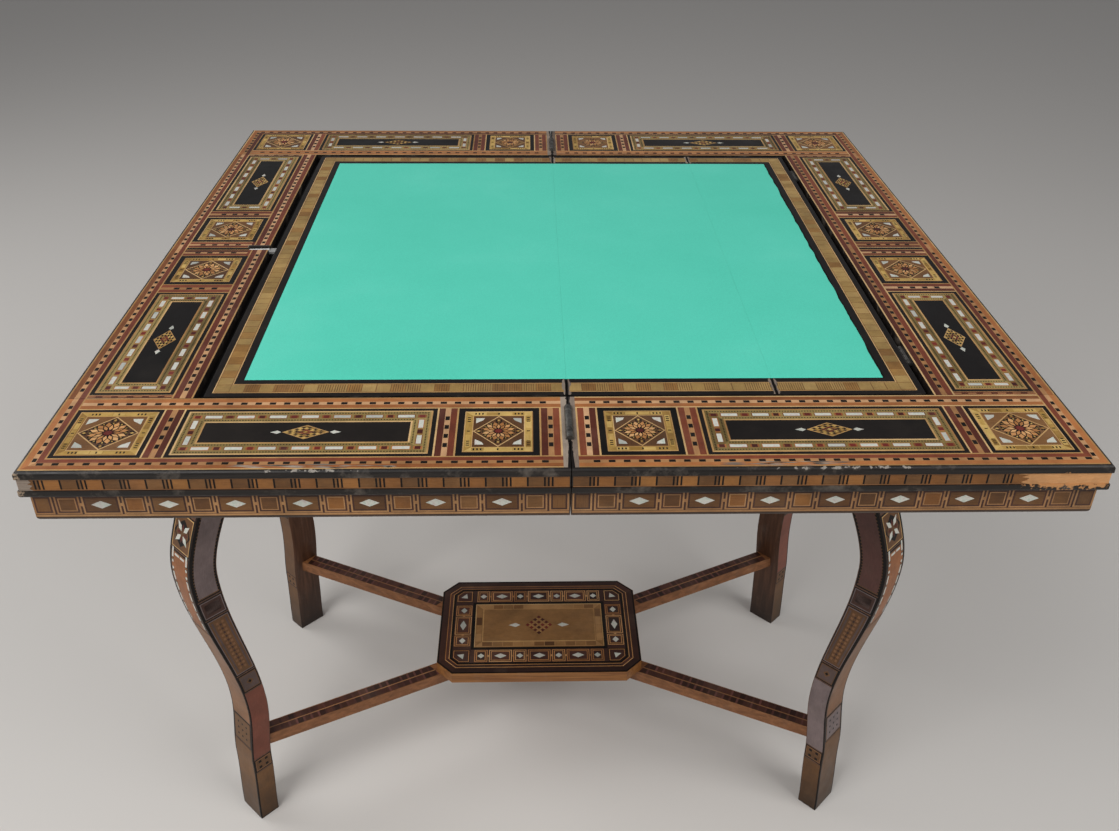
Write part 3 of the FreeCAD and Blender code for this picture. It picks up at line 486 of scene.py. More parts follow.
# inside it, in shares of the field: diamond, rosette, points and dark specks in its tips, corner pearl
DIAMOND, DIAMOND_LEVEL, ROSETTE_SHARE = 0.94, LAYERS[3] - 0.02, 0.655
TIP, TIP_U, TIP_V = 0.78, 0.07, 0.05
SPECK_U, SPECK_V = np.array([0.72, 0.72, 0.8, 0.8]), np.array([0.09, -0.09, 0.09, -0.09])
CORNER_PEARL = np.array([[[0.9, 0.86], [0.56, 0.86], [0.62, 0.72], [0.9, 0.52]]])
# checkered lozenge: rhombs in a row, their share of the lozenge, size of each, pearl drop at its ends
CHECKERS, CHECKER_SHARE, RHOMB = 7, 0.92, 0.88
DROP, DROP_GAP = np.array([[[0, 0], [3.4, -2.6], [9.5, 0], [3.4, 2.6]]]), 0.6
# pearl band: dots, then (wood, half length, half width, level) of its slips, in pitches, and its red squares
DOT_U, DOT_V, DOT_PITCH, DOT_DEEP, DOT_ROOM = 0.625, 0.6, 2.5, 2.1, 2.2
SLIP_PITCH = 26
SLIPS = (("apricot", 0.29, 2.9, LAYERS[1] + HAIR), ("pearl", 0.26, 2.1, LAYERS[2]))
REDS = (("apricot", 3.9, 2.4, LAYERS[1] + HAIR), ("redheart", 2.4, 2.2, LAYERS[2]))
# long panel: black frame, light line, pearl band and the lozenge's half sizes
LONG_BLACK, LONG_LINE, LONG_BAND, LOZENGE = 3.8, 1.6, 15.0, (20, 11)


def guard(length, width, outside="apricot", inside="rosewood", mitre=(0, 0)):
    """Guard strip along u: light lines outside, two brown bands, light middle strip with dark dashes.

    A mitre is how much the left and the right end grow for each millimetre across the strip.
    """
    half, line, mid = width / 2, GUARD_LINE * width, GUARD_STRIP * width / 2

    def strip(v0, v1):
        """One strip from v0 to v1 with mitred ends."""
        left, right = [length / 2 + grow * (v0 + half) for grow in mitre]
        left_top, right_top = [length / 2 + grow * (v1 + half) for grow in mitre]
        return np.array([[[-left, v0], [right, v0], [right_top, v1], [-left_top, v1]]])

    woods = ("maple", outside, "blush", inside, "maple")
    cuts = (-half, line - half, -mid, mid, half - line, half)
    tiles = [(wood, strip(v0, v1), LAYERS[0]) for wood, v0, v1 in zip(woods, cuts[:-1], cuts[1:])]
    middles, pitch = steps(length - width, DASH_PITCH)
    dash, room = DASH_SHARE * pitch / 2, DASH_ROOM * GUARD_STRIP * width
    tiles.append(("ebony", bars(middles - dash, middles + dash, room - mid, mid - room), LAYERS[1]))
    return tiles


def rosette(radius):
    """Twelve petals in two rings on a black round, a red star in the middle."""
    half = math.pi / PETALS
    tiles = [("ebony", star(PETALS, ROUND_IN * radius, radius), LAYERS[3])]
    for wood, turned, inner, shoulder, outer, spread in PETAL_RINGS:
        sizes = np.array([inner, shoulder, outer]) * radius
        tiles.append((wood, kites(PETALS, turned * half, *sizes, spread * half), LAYERS[4]))
    tiles.append(("redheart", star(PETALS, HEART_IN * radius, HEART_OUT * radius), LAYERS[5]))
    return tiles


def tick_groups(length, low, high):
    """Dark ticks on a strip along u: three near each end and one in the middle."""
    three = np.array([-TICK_GAP, 0, TICK_GAP])
    u = np.concatenate([three - TICK_PLACE * length, [0], three + TICK_PLACE * length])
    return bars(u - TICK / 2, u + TICK / 2, low, high)


def yellow_band(length, depth):
    """One side of a star square's band: yellow blocks with ticks on them."""
    middles, pitch = steps(length - 2 * SQUARE_BAND, BLOCK_PITCH)
    half = BLOCK_HALF * pitch
    blocks = bars(middles - half, middles + half, depth - SQUARE_BAND + SQUARE_LINE, depth - SQUARE_LINE)
    ticks = tick_groups(length, depth - TICKS_FROM * SQUARE_BAND, depth - TICKS_TO * SQUARE_BAND)
    return [("lemon", blocks, LAYERS[2]), ("ebony", ticks, LAYERS[3])]


def star_square(u, v, black):
    """Square panel of half sizes u, v: black frame, yellow band, brown field, rosette in a diamond."""
    tiles = [("ebony", bars(-u, u, -v, v), LAYERS[0])]
    a, b = u - black, v - black
    tiles.append(("maple", frame_strips(a, b, SQUARE_LINE), LAYERS[1]))
    a, b = a - SQUARE_LINE, b - SQUARE_LINE
    tiles.append(("lemon", frame_strips(a, b, SQUARE_BAND), LAYERS[1]))
    tiles += four_sides(a, b, yellow_band)
    a, b = a - SQUARE_BAND, b - SQUARE_BAND
    tiles.append(("maple", frame_strips(a, b, SQUARE_THREAD), LAYERS[1]))
    a, b = a - SQUARE_THREAD, b - SQUARE_THREAD
    tiles.append(("walnut", bars(-a, a, -b, b), LAYERS[1]))
    tiles.append(("maple", lozenges(0, 0, a, b), LAYERS[2]))
    tiles.append(("walnut", lozenges(0, 0, DIAMOND * a, DIAMOND * b), DIAMOND_LEVEL))
    tiles += rosette(ROSETTE_SHARE * min(a, b))
    tips = [("lemon", lozenges(TIP * a, 0.0, TIP_U * a, TIP_V * b), LAYERS[3]),
            ("ebony", lozenges(SPECK_U * a, SPECK_V * b, TIP_V * a, TIP_V * b), LAYERS[3])]
    for turns in range(4):
        tiles += placed(tips, 0, 0, turns)
    for flip in FOUR_WAYS:
        tiles.append(("pearl", CORNER_PEARL * [a, b] * flip, LAYERS[2]))
    return tiles


def checker_lozenge(half_u, half_v):
    """Lozenge of small rhombs in a light outline, a pearl drop at each end.

    The rhombs are yellow and dark in turn, and red in the middle.
    """
    tiles = [("maple", lozenges(0, 0, half_u, half_v), LAYERS[2])]
    index = np.arange(CHECKERS) - (CHECKERS - 1) / 2
    i, j = [grid.ravel() for grid in np.meshgrid(index, index)]
    pitch_u, pitch_v = np.array([half_u, half_v]) * CHECKER_SHARE / CHECKERS
    u, v = (i + j) * pitch_u, (i - j) * pitch_v
    heart = np.maximum(np.abs(i), np.abs(j)) <= 1
    chequer = (i + j) % 2 == 0
    for wood, keep in (("lemon", chequer & ~heart), ("ebony", ~chequer & ~heart), ("redheart", heart)):
        tiles.append((wood, lozenges(u[keep], v[keep], RHOMB * pitch_u, RHOMB * pitch_v), LAYERS[3]))
    tiles.append(("lemon", lozenges(0, 0, pitch_u, pitch_v), LAYERS[4]))
    for flip in (-1, 1):
        tiles.append(("pearl", (DROP + [half_u + DROP_GAP, 0]) * [flip, 1], LAYERS[2]))
    return tiles


def pearl_band(u, v, width):
    """Band inside a rectangle: olive ground, pearl slips and red squares in turn, two rows of fine dots."""
    def side(length, depth):
        """Slips, squares and dots of one side; the long sides also take the squares at the corners."""
        tiles = []
        outer_row = (length - DOT_ROOM, depth - DOT_DEEP)
        inner_row = (length - 2 * width + DOT_ROOM, depth - width + DOT_DEEP)
        for stretch, row in (outer_row, inner_row):
            dots = steps(stretch, DOT_PITCH)[0]
            tiles.append(("ebony", bars(dots - DOT_U, dots + DOT_U, row - DOT_V, row + DOT_V), LAYERS[2]))
        middle = depth - width / 2
        slips, pitch = steps(length - width, SLIP_PITCH)
        reds = slips[1:] - pitch / 2
        if length > 2 * v:
            reds = np.append(reds, [slips[0] - pitch / 2, slips[-1] + pitch / 2])
        for places, unit, kinds in ((slips, pitch, SLIPS), (reds, 1, REDS)):
            for wood, reach, half, level in kinds:
                reach = reach * unit
                laid = bars(places - reach, places + reach, middle - half, middle + half)
                tiles.append((wood, laid, level))
        return tiles

    return [("olive", frame_strips(u, v, width), LAYERS[1])] + four_sides(u, v, side)


def long_panel(u, v):
    """Long panel of half sizes u, v, u the longer: black frame, line, pearl band, black field, lozenge."""
    tiles = [("ebony", bars(-u, u, -v, v), LAYERS[0])]
    a, b = u - LONG_BLACK, v - LONG_BLACK
    tiles.append(("maple", frame_strips(a, b, LONG_LINE), LAYERS[1]))
    a, b = a - LONG_LINE, b - LONG_LINE
    tiles += pearl_band(a, b, LONG_BAND)
    a, b = a - LONG_BAND, b - LONG_BAND
    tiles.append(("maple", frame_strips(a, b, LONG_LINE), LAYERS[1]))
    a, b = a - LONG_LINE, b - LONG_LINE
    tiles.append(("ebony", bars(-a, a, -b, b), LAYERS[1]))
    return tiles + checker_lozenge(*LOZENGE)


# Border of the top, laid out in distances from the table's edge

RIM, GUARD_IN, PANEL_IN, FIELD_IN = 3.2, 20.5, 95.6, EDGE - OPENING - 0.4
LONG_FROM, LONG_TO = 114.5, 335.0
SMALL_FROM, SMALL_TO = 353.9, 424.4
SIDE_LONG_FROM, SIDE_LONG_TO = 121.0, 332.4
SIDE_SMALL_FROM, SIDE_SMALL_TO = 353.9, 429.5
SMALL_BLACK, CORNER_BLACK = 5.6, 3.8
SLOT_HALF, DARK_LINE = 3.0, 2.6
# worn strip at the seam and its broken edge, and a black wedge of painted shade where the seam gapes at the
# front
SEAM_WORN, WORN_ROOM, WORN_STEPS, WORN_BITE = 6.0, 0.5, 40, 1.6
GAP_SHADE_FROM, GAP_SHADE_TO, GAP_SHADE_LONG = 0.2, 2.6, 48
# rubbed slivers: where each leaf's front line has them, how many, and their sizes
SCUFFED, SCUFFS = {"left": (-280, -130), "right": (130, 240)}, 16
SCUFF_IN, SCUFF_LONG, SCUFF_WIDE = (0.8, 6), (4, 16), (0.5, 1.2)


def leaf_border(slotted):
    """Front half of the left leaf's border seen from above, as tiles of its end and of its side.

    A slotted border leaves the catch's slot, in the middle of its inner edge, free.
    """
    end, side = [], []

    def lay(part, tiles, u, v, turns=0):
        """Add tiles to a part, at distances from the left and the front edge."""
        part.extend(placed(tiles, u - EDGE, v - EDGE, turns))

    seam = EDGE - SEAM - SEAM_WORN
    free = SLOT_HALF if slotted else 0
    depth, half_depth = span(GUARD_IN, PANEL_IN)
    outer, half_outer = span(RIM, GUARD_IN)
    inner, half_inner = span(PANEL_IN, FIELD_IN)
    # guards along the front edge and along the opening
    place, half = span(RIM, seam)
    lay(end, guard(2 * half, 2 * half_outer, mitre=(-1, 0)), place, outer)
    place, half = span(GUARD_IN, seam)
    lay(end, guard(2 * half, 2 * half_inner, "apricot", "apricot"), place, inner)
    # cross guards and panels of the front border
    for low, high in ((PANEL_IN, LONG_FROM), (LONG_TO, SMALL_FROM), (SMALL_TO, seam)):
        place, half = span(low, high)
        lay(end, guard(2 * half_depth, 2 * half, "rosewood"), place, depth, 1)
    lay(end, star_square(half_depth, half_depth, CORNER_BLACK), depth, depth)
    place, half = span(LONG_FROM, LONG_TO)
    lay(end, long_panel(half, half_depth), place, depth)
    place, half = span(SMALL_FROM, SMALL_TO)
    lay(end, star_square(half, half_depth, SMALL_BLACK), place, depth)
    # wear at the seam, and painted shade in its gap at the front
    worn = ragged(seam, EDGE - SEAM - WORN_ROOM, RIM, FIELD_IN, WORN_STEPS, WORN_BITE)
    lay(end, [("scuffed", worn, LAYERS[0])], 0, 0)
    # a black tile painted as the shade in the seam's open gap, wide at the front edge and narrowing inward
    gap_shade_edge = EDGE - SEAM - GAP_SHADE_FROM
    gap_shade_wedge = np.array([[[gap_shade_edge, RIM], [gap_shade_edge, GAP_SHADE_LONG], [EDGE - SEAM - GAP_SHADE_TO, RIM]]])
    lay(end, [("ebony", gap_shade_wedge, LAYERS[1])], 0, 0)
    # outer guard of the side border, split where its boards meet, and its inner guard
    place, half = span(RIM, FIELD_IN)
    lay(end, guard(2 * half, 2 * half_outer, mitre=(0, -1)), outer, place, -1)
    side_middle = EDGE - OPENING / 2
    lay(side, guard(OPENING, 2 * half_outer), outer, side_middle, -1)
    lay(side, guard(OPENING - free, 2 * half_inner, "rosewood"), inner, side_middle - free / 2, 1)
    # cross guards and panels of the side border
    for low, high in ((FIELD_IN, SIDE_LONG_FROM), (SIDE_LONG_TO, SIDE_SMALL_FROM)):
        place, half = span(low, high)
        lay(side, guard(2 * half_depth, 2 * half, "rosewood"), depth, place)
    place, half = span(SIDE_SMALL_TO, EDGE - DARK_LINE)
    across, half_across = span(GUARD_IN, PANEL_IN - free)
    lay(side, guard(2 * half_across, 2 * half, "rosewood"), across, place)
    lay(side, [("ebony", bars(GUARD_IN, PANEL_IN - free, EDGE - DARK_LINE, EDGE), LAYERS[1])], 0, 0)
    if slotted:
        slip = bars(PANEL_IN - free, PANEL_IN, SIDE_SMALL_TO, EDGE - free)
        lay(side, [("rosewood", slip, LAYERS[0])], 0, 0)
    place, half = span(SIDE_LONG_FROM, SIDE_LONG_TO)
    lay(side, long_panel(half, half_depth), depth, place, 1)
    place, half = span(SIDE_SMALL_FROM, SIDE_SMALL_TO)
    lay(side, star_square(half_depth, half, SMALL_BLACK), depth, place)
    return end, side


def scuffs(low, high):
    """Slivers of rubbed wood along the front line of the border, at seeded places."""
    u = rng.uniform(low, high, SCUFFS)
    v = -EDGE + RIM + rng.uniform(*SCUFF_IN, SCUFFS)
    return [("scuffed", lozenges(*place, rng.uniform(*SCUFF_LONG), rng.uniform(*SCUFF_WIDE)), LAYERS[3])
            for place in zip(u, v)]


for leaf, flip_u in (("left", 1), ("right", -1)):
    end_tiles, side_tiles = leaf_border(leaf == "left")
    for end, flip_v in (("front", 1), ("rear", -1)):
        tiles = mirrored(end_tiles, flip_u, flip_v)
        if end == "front":
            tiles += scuffs(*SCUFFED[leaf])
        inlay(f"{leaf}_{end}_border_inlay", [(tiles, level_surface(TOP))], f"{leaf}_leaf")
    tiles = mirrored(side_tiles, flip_u, 1) + mirrored(side_tiles, flip_u, -1)
    inlay(f"{leaf}_outer_border_inlay", [(tiles, level_surface(TOP))], f"{leaf}_leaf")


# Edge band and frieze

# band: pitch of its blocks, lines above and below, stripes by threes and ones
EDGE_PITCH, EDGE_LINE, STRIPE, STRIPE_GAP = 34.3, 0.9, 1.5, 3.2
BAND_IN, BAND_LOW, BAND_HIGH, BAND_ROOM, SEAM_ROOM = 1.2, 7.0, 18.5, 0.4, 1
# where its front is broken at the right corner and knocked at the left: (wood, length, steps, bite)
BROKEN, KNOCKED, CHIP_HALF = ("bare", 80, 12, 14), ("scuffed", 13, 8, 5), 5.6
# cells: dark line, level of the ground, pearl and tie as shares; edgings as (wood, width, inner thread)
CELL_LINE, CELL_GROUND = 1.5, LAYERS[3] + HAIR
PEARL_U, PEARL_V, TIE = 0.27, 0.2, 0.08
CELL_EDGING, SQUARE_EDGING, SHELF_EDGING = ("cherry", 1.5, 0), ("cherry", 1.5, 1.0), ("tan", 1.1, 1.0)
SQUARE_WOODS = ["walnut", "umber", "walnut", "amber"]
# frieze: cell widths, tie between cells, light strip below them, room above and below
FRIEZE_SQUARE, FRIEZE_OBLONG, FRIEZE_LINK, FRIEZE_STRIP, FRIEZE_ROOM = 20.5, 31.2, 1.7, 1.9, 0.5
FRIEZE_LOW, FRIEZE_TRIM = 5.0, 0.8
LEAF_CELLS, SIDE_CELLS = "sr" * 7 + "s", "sr" * 15 + "s"


def edge_band(length, height):
    """Band round the slab's edge: brown blocks in two tones, lines above and below, dark stripes."""
    half = height / 2
    blocks, pitch = steps(length, EDGE_PITCH)
    three = np.add.outer(blocks, [-STRIPE_GAP, 0, STRIPE_GAP]).ravel()
    stripes = np.concatenate([three, blocks[:-1] + pitch / 2])
    lines = np.array([-half, half - EDGE_LINE])
    upright = bars(stripes - STRIPE / 2, stripes + STRIPE / 2, EDGE_LINE - half, half - EDGE_LINE)
    return [
        ("umber", bars(blocks - pitch / 2, blocks, -half, half), LAYERS[0]),
        ("amber", bars(blocks, blocks + pitch / 2, -half, half), LAYERS[0]),
        ("fruitwood", bars(-length / 2, length / 2, lines, lines + EDGE_LINE), LAYERS[1]),
        ("ebony", upright, LAYERS[1]),
    ]


def framed_cell(u, v, ground, border, border_width, thread):
    """Cell of half sizes u, v: light border, a dark line, where wanted a light thread, and a ground."""
    strips = [(border, border_width, LAYERS[1]), ("mahogany", CELL_LINE, LAYERS[2])]
    if thread:
        strips.append((border, thread, LAYERS[3]))
    tiles = []
    for wood, width, level in strips + [(ground, 0, CELL_GROUND)]:
        tiles.append((wood, bars(-u, u, -v, v), level))
        u, v = u - width, v - width
    return tiles


def cell_row(kinds, square, oblong, height, link, ground="walnut", edging=CELL_EDGING):
    """Row of cells round the origin and its length; ties join the cells.

    The kinds are s, a plain square of a seeded wood, p, a square with a pearl, and r, an oblong with one.
    """
    widths = np.array([oblong if kind == "r" else square for kind in kinds], float)
    ends = np.cumsum(widths + link) - link
    middles = ends - widths / 2 - ends[-1] / 2
    tiles = []
    for kind, middle, width in zip(kinds, middles, widths):
        if kind == "s":
            cell = framed_cell(width / 2, height / 2, rng.choice(SQUARE_WOODS), *SQUARE_EDGING)
        else:
            cell = framed_cell(width / 2, height / 2, ground, *edging)
            cell.append(("pearl", lozenges(0, 0, PEARL_U * width, PEARL_V * height), LAYERS[4]))
        tiles += placed(cell, middle, 0)
    links = middles[:-1] + widths[:-1] / 2
    tiles.append(("cherry", bars(links, links + link, -TIE * height, TIE * height), LAYERS[1]))
    return tiles, ends[-1]


def frieze(length, height, kinds):
    """Frieze along u: dark ground, light strip below, a row of cells and, at its ends, cut cells."""
    half = height / 2
    tiles = [("mahogany", bars(-length / 2, length / 2, -half, half), LAYERS[0]),
             ("cherry", bars(-length / 2, length / 2, -half, FRIEZE_STRIP - half), LAYERS[1])]
    cell_height = height - FRIEZE_STRIP - 2 * FRIEZE_ROOM
    cells, reach = cell_row(kinds, FRIEZE_SQUARE, FRIEZE_OBLONG, cell_height, FRIEZE_LINK)
    rest = (length - reach) / 2 - FRIEZE_LINK
    for side in (-1, 1):
        cell = framed_cell(rest / 2, cell_height / 2, "walnut", *CELL_EDGING)
        cells += placed(cell, side * (length - rest) / 2, 0)
    return tiles + placed(cells, 0, FRIEZE_STRIP / 2)


def chipped(wood, reach, count, bite, length):
    """Damage at the left end of a band of a length: a tile with a broken right side."""
    return wood, ragged(-length / 2, reach - length / 2, -CHIP_HALF, CHIP_HALF, count, bite), LAYERS[3]


band_height = BAND_HIGH - BAND_LOW - BAND_ROOM
band_middle = SLAB_FLOOR + (BAND_LOW + BAND_HIGH) / 2
frieze_height = SLAB_FLOOR - APRON_FLOOR - FRIEZE_LOW - FRIEZE_TRIM
frieze_middle = APRON_FLOOR + FRIEZE_LOW + frieze_height / 2
band_from = EDGE - BAND_IN
for leaf, side in (("left", -1), ("right", 1)):
    for end, way in (("front", -1), ("rear", 1)):
        length = band_from - SEAM - SEAM_ROOM
        middle = (side * (SEAM + SEAM_ROOM + length / 2), way * band_from, band_middle)
        tiles = edge_band(length, band_height)
        if (leaf, end) == ("right", "front"):
            tiles += mirrored([chipped(*BROKEN, length)], -1, 1)
        if (leaf, end) == ("left", "front"):
            tiles.append(chipped(*KNOCKED, length))
        band = (tiles, upright_surface(middle, (0, way, 0)))
        length = APRON - SEAM - SEAM_ROOM
        middle = (side * (SEAM + SEAM_ROOM + length / 2), way * APRON, frieze_middle)
        row = (frieze(length, frieze_height, LEAF_CELLS), upright_surface(middle, (0, way, 0)))
        inlay(f"{leaf}_{end}_edge_inlay", [band, row], f"{leaf}_leaf", LIKE_TONES)
    out = (side, 0, 0)
    band = (edge_band(2 * band_from, band_height), upright_surface((side * band_from, 0, band_middle), out))
    tiles = frieze(2 * APRON, frieze_height, SIDE_CELLS)
    row = (tiles, upright_surface((side * APRON, 0, frieze_middle), out))
    inlay(f"{leaf}_outer_edge_inlay", [band, row], f"{leaf}_leaf", LIKE_TONES)


# Rims of the playing boards

# strips of a rim from the outside in, and the depths where they change
RIM_STRIPS = ("ebony", "maple", "umber", "maple", "ebony")
RIM_CUTS, RIM_ROOM = (0.5, 6.0, 7.0, 21.0, 22.0), 0.3
# blocks on the middle strip: depths, room at a cut side, pitch, half length, (wood, hatched) kinds
RIM_FROM, RIM_TO, CUT_ROOM, RIM_PITCH, RIM_HALF = 7.6, 20.4, 1, 13, 0.47
RIM_WOODS = (("boxwood", False), ("boxwood", False), ("boxwood", True), ("honey", True))
# places of the fine dark lines on a hatched block, and half their width
HATCH, HATCH_HALF = np.linspace(-4.2, 4.2, 5), 0.35
# wear beside a cut side: (wood, reach, steps, bite, level), and the room at its ends
CUT_WEAR = (("scuffed", 4.2, 9, 2.4, LAYERS[2]), ("ebony", 1.5, 7, 0.7, LAYERS[3]))
WEAR_IN, WEAR_OUT = 1, 0.6
SEAM_HALF = 0.4


def board_rim(left, right, cut_left, cut_right):
    """Rim tiles of one playing board; a cut side meets its neighbour and has no rim of its own."""
    tiles = []
    depth = BOARD_END - CLOTH_END
    cuts = (*RIM_CUTS, depth - RIM_ROOM)
    for wood, d0, d1 in zip(RIM_STRIPS, cuts[:-1], cuts[1:]):
        a0, a1 = (left, left) if cut_left else (left + d0, left + d1)
        b0, b1 = (right, right) if cut_right else (right - d0, right - d1)
        near, far = BOARD_END - d0, BOARD_END - d1
        end = np.array([[[a0, -near], [b0, -near], [b1, -far], [a1, -far]]])
        tiles.append((wood, np.concatenate([end, end * [1, -1]]), LAYERS[0]))
        for u0, u1, cut in ((a0, a1, cut_left), (b0, b1, cut_right)):
            if not cut:
                tiles.append((wood, np.array([[[u0, -near], [u1, -far], [u1, far], [u0, near]]]), LAYERS[0]))
    start = left + (CUT_ROOM if cut_left else RIM_TO)
    stop = right - (CUT_ROOM if cut_right else RIM_TO)
    middles, pitch = steps(stop - start, RIM_PITCH)
    v0, v1, half = BOARD_END - RIM_TO, BOARD_END - RIM_FROM, RIM_HALF * pitch
    kinds = rng.integers(0, len(RIM_WOODS), (2, len(middles)))
    for way, row in zip((-1, 1), kinds):
        for index, (wood, hatched) in enumerate(RIM_WOODS):
            u = middles[row == index] + (start + stop) / 2
            if len(u):
                tiles.append((wood, bars(u - half, u + half, v0, v1) * [1, way], LAYERS[1]))
            if len(u) and hatched:
                u = np.add.outer(u, HATCH).ravel()
                tiles.append(("umber", bars(u - HATCH_HALF, u + HATCH_HALF, v0, v1) * [1, way], LAYERS[2]))
    for edge, way, cut in ((left, 1, cut_left), (right, -1, cut_right)):
        if cut:
            for end in (-1, 1):
                for wood, reach, count, bite, level in CUT_WEAR:
                    worn = ragged(0, reach, BOARD_END - depth + WEAR_IN, BOARD_END - WEAR_OUT, count, bite)
                    tiles.append((wood, worn * [way, end] + [edge, 0], level))
            continue
        middles, pitch = steps(2 * (BOARD_END - RIM_FROM), RIM_PITCH)
        u0, u1 = sorted((edge + way * RIM_FROM, edge + way * RIM_TO))
        row = rng.integers(0, len(RIM_WOODS), len(middles))
        for index, (wood, _) in enumerate(RIM_WOODS):
            v = middles[row == index]
            tiles.append((wood, bars(u0, u1, v - RIM_HALF * pitch, v + RIM_HALF * pitch), LAYERS[1]))
    return tiles


BOARDS = (("left_board", "lift_board", BOARD_LEFT, -SEAM_HALF, False, True),
          ("right_board_wide", "right_leaf", SEAM_HALF, SPLIT_LEFT, True, True),
          ("right_board_narrow", "right_leaf", SPLIT_RIGHT, BOARD_RIGHT, True, False))
for name, body, *sides in BOARDS:
    inlay(f"{name}_inlay", [(board_rim(*sides), level_surface(BOARD_TOP))], body, LIKE_TONES)


# Baize

BAIZE = wool_baize()
# how far a cloth reaches past its board and how deep its edge drops: free, at the seam and at the crease
FREE, SEAM_MEET, CREASE_MEET = (0, 0.6), (0.38, 0.03), (0.28, 0.12)
# height of the wave, reach of an edge's drop, room below, points across and along, places near an edge
WAVE, DROP_REACH, CLOTH_FLOOR, ACROSS, ALONG = 0.3, 1.5, 0.05, 56, 104
CROWDED = np.array([0, 0.25, 0.7, 1.5, 3.0])
# slow waves, as (reach across, reach along, start), without end where a wave doesn't run that way
WAVES = ((61, 97, 0), (-88, 43, 1.3), (29, math.inf, 0.7))
FRAY = 8


def toward_edges(low, high, count):
    """Places from low to high: even in the middle, crowded near both ends."""
    even = np.linspace(low + 2 * CROWDED[-1], high - 2 * CROWDED[-1], count - 2 * len(CROWDED))
    return np.concatenate([low + CROWDED, even, high - CROWDED[::-1]])


def baize(name, node_name, body, left=FREE, right=FREE, frayed=0):
    """Cloth laid in a board's recess: a grid whose top is a little wavy and drops at its edges, closed below.

    The wave is a sum of slow sines, the drop a falling exponential of the distance to an edge. A frayed
    right side wanders by seeded steps, smoothed over three rows; they fade to the left with a high power of
    the place across. Left and right say how far an edge reaches past its board and how deep it drops.
    """
    low, high = box_mm(node_name)
    low[X] -= left[0]
    high[X] += right[0]
    x, y = np.meshgrid(toward_edges(low[X], high[X], ACROSS), toward_edges(low[Y], high[Y], ALONG))
    loose = np.convolve(rng.uniform(0, frayed, ALONG + 2), np.ones(3) / 3, "valid")
    x = x - loose[:, None] * ((x - low[X]) / (high[X] - low[X])) ** FRAY
    wave = sum(np.sin(x / across + y / along + start) for across, along, start in WAVES)
    drop = FREE[1] * np.exp(-np.minimum(y - low[Y], high[Y] - y) / DROP_REACH)
    for distance, depth in ((x - x.min(), left[1]), (x.max() - x, right[1])):
        drop = np.maximum(drop, depth * np.exp(-distance / DROP_REACH))
    z = high[Z] + WAVE * (0.5 + wave / (2 * len(WAVES))) - drop
    top = np.stack([x, y, z], -1).reshape(-1, 3)
    under = np.stack([x, y, np.full_like(x, low[Z] + CLOTH_FLOOR)], -1).reshape(-1, 3)
    index = np.arange(ACROSS * ALONG).reshape(ALONG, ACROSS)
    quads = np.stack([index[:-1, :-1], index[:-1, 1:], index[1:, 1:], index[1:, :-1]], -1).reshape(-1, 4)
    round_edge = np.concatenate([index[0, :-1], index[:-1, -1], index[-1, :0:-1], index[:0:-1, 0]])
    after = np.roll(round_edge, -1)
    total = ACROSS * ALONG
    walls = np.stack([round_edge + total, after + total, after, round_edge], -1)
    faces = np.concatenate([quads, quads[:, ::-1] + total, walls])
    mesh = bpy.data.meshes.new(name)
    mesh.from_pydata(np.concatenate([top, under]) * MM, [], faces)
    mesh.polygons.foreach_set("use_smooth", np.arange(len(faces)) < len(quads))
    mesh.materials.append(BAIZE)
    piece = shown(name, mesh, body)
    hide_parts(node_name)


baize("left_cloth", "left_baize", "lift_board", right=SEAM_MEET)
baize("right_cloth_wide", "right_baize_wide", "right_leaf", SEAM_MEET, CREASE_MEET)
baize("right_cloth_narrow", "right_baize_narrow", "right_leaf", CREASE_MEET, frayed=3.0)


# Catch: the strip that lies on its bar, made near white as painted highlight

STRIP_FROM, STRIP_TO, STRIP_RISE = 1.0, 7.5, 1.5
STRIP_POINTS, STRIP_HALF, STRIP_BOW = 16, 1.3, -1.1


def catch_strip():
    """Polished flat strip on the catch's bar, on edge: it bows to one side in a quarter of a cosine."""
    t = np.linspace(0, 1, STRIP_POINTS)
    x = CATCH_LOW[X] + STRIP_FROM + t * (CATCH_HIGH[X] - STRIP_TO - CATCH_LOW[X] - STRIP_FROM)
    y = STRIP_BOW * np.cos(t * math.pi / 2)
    near, far = y - STRIP_HALF, y + STRIP_HALF
    low, high = CATCH_HIGH[Z] - SUNK, CATCH_HIGH[Z] + STRIP_RISE
    ring = ((near, low), (far, low), (far, high), (near, high))
    points = np.stack([np.stack([x, side, np.full(STRIP_POINTS, z)], -1) for side, z in ring], 1)
    index = np.arange(4 * STRIP_POINTS).reshape(STRIP_POINTS, 4)
    after = np.roll(index, -1, 1)
    walls = np.stack([index[:-1], index[1:], after[1:], after[:-1]], -1).reshape(-1, 4)
    ends = np.stack([index[0], index[-1, ::-1]])
    mesh = bpy.data.meshes.new("catch_strip")
    mesh.from_pydata(points.reshape(-1, 3) * MM, [], np.concatenate([walls, ends]))
    mesh.shade_flat()
    # near-white colour with a metallic share of 0.35: the diffuse white is painted highlight, standing for
    # the light the polished strip reflects
    mesh.materials.append(metal("steel_strip_painted_highlight", "#C9C7C2", "#EDECE8", 0.45, 0.35))
    shown("catch_strip", mesh, "catch")


catch_strip()


# Legs: inlay that follows the sawn curve

# place of a foot from the base's middle, half the leg's thickness, a side face's map, room for bends
FOOT_X, FOOT_Y = 393.0, 195.0
LEG_HALF, LEG_WIDE, CURVE_ROOM = 21.0, 40.0, 0.12
# heights, and the outer edge and the width of the sawn outline there
STATIONS = np.array([0, 100, 192, 428, 600.2, 689.2])
OUTER_AT = np.array([0, -4, -12, 26, -22, -22.0])
WIDTH_AT = np.array([27, 27, 27, 34, 45, 45.0])
# pitch of the cuts up a strip, share of it kept clear at the ends, inset of a panel's ground in lines
LEG_CUT, CUT_CLEAR, THREAD_TO = 5.0, 0.1, 1.8
# places across a side face: its black edge and its panels
EDGE_FROM, PANEL_FROM, PANEL_TO = 0.2, 2.6, LEG_WIDE - 1.2
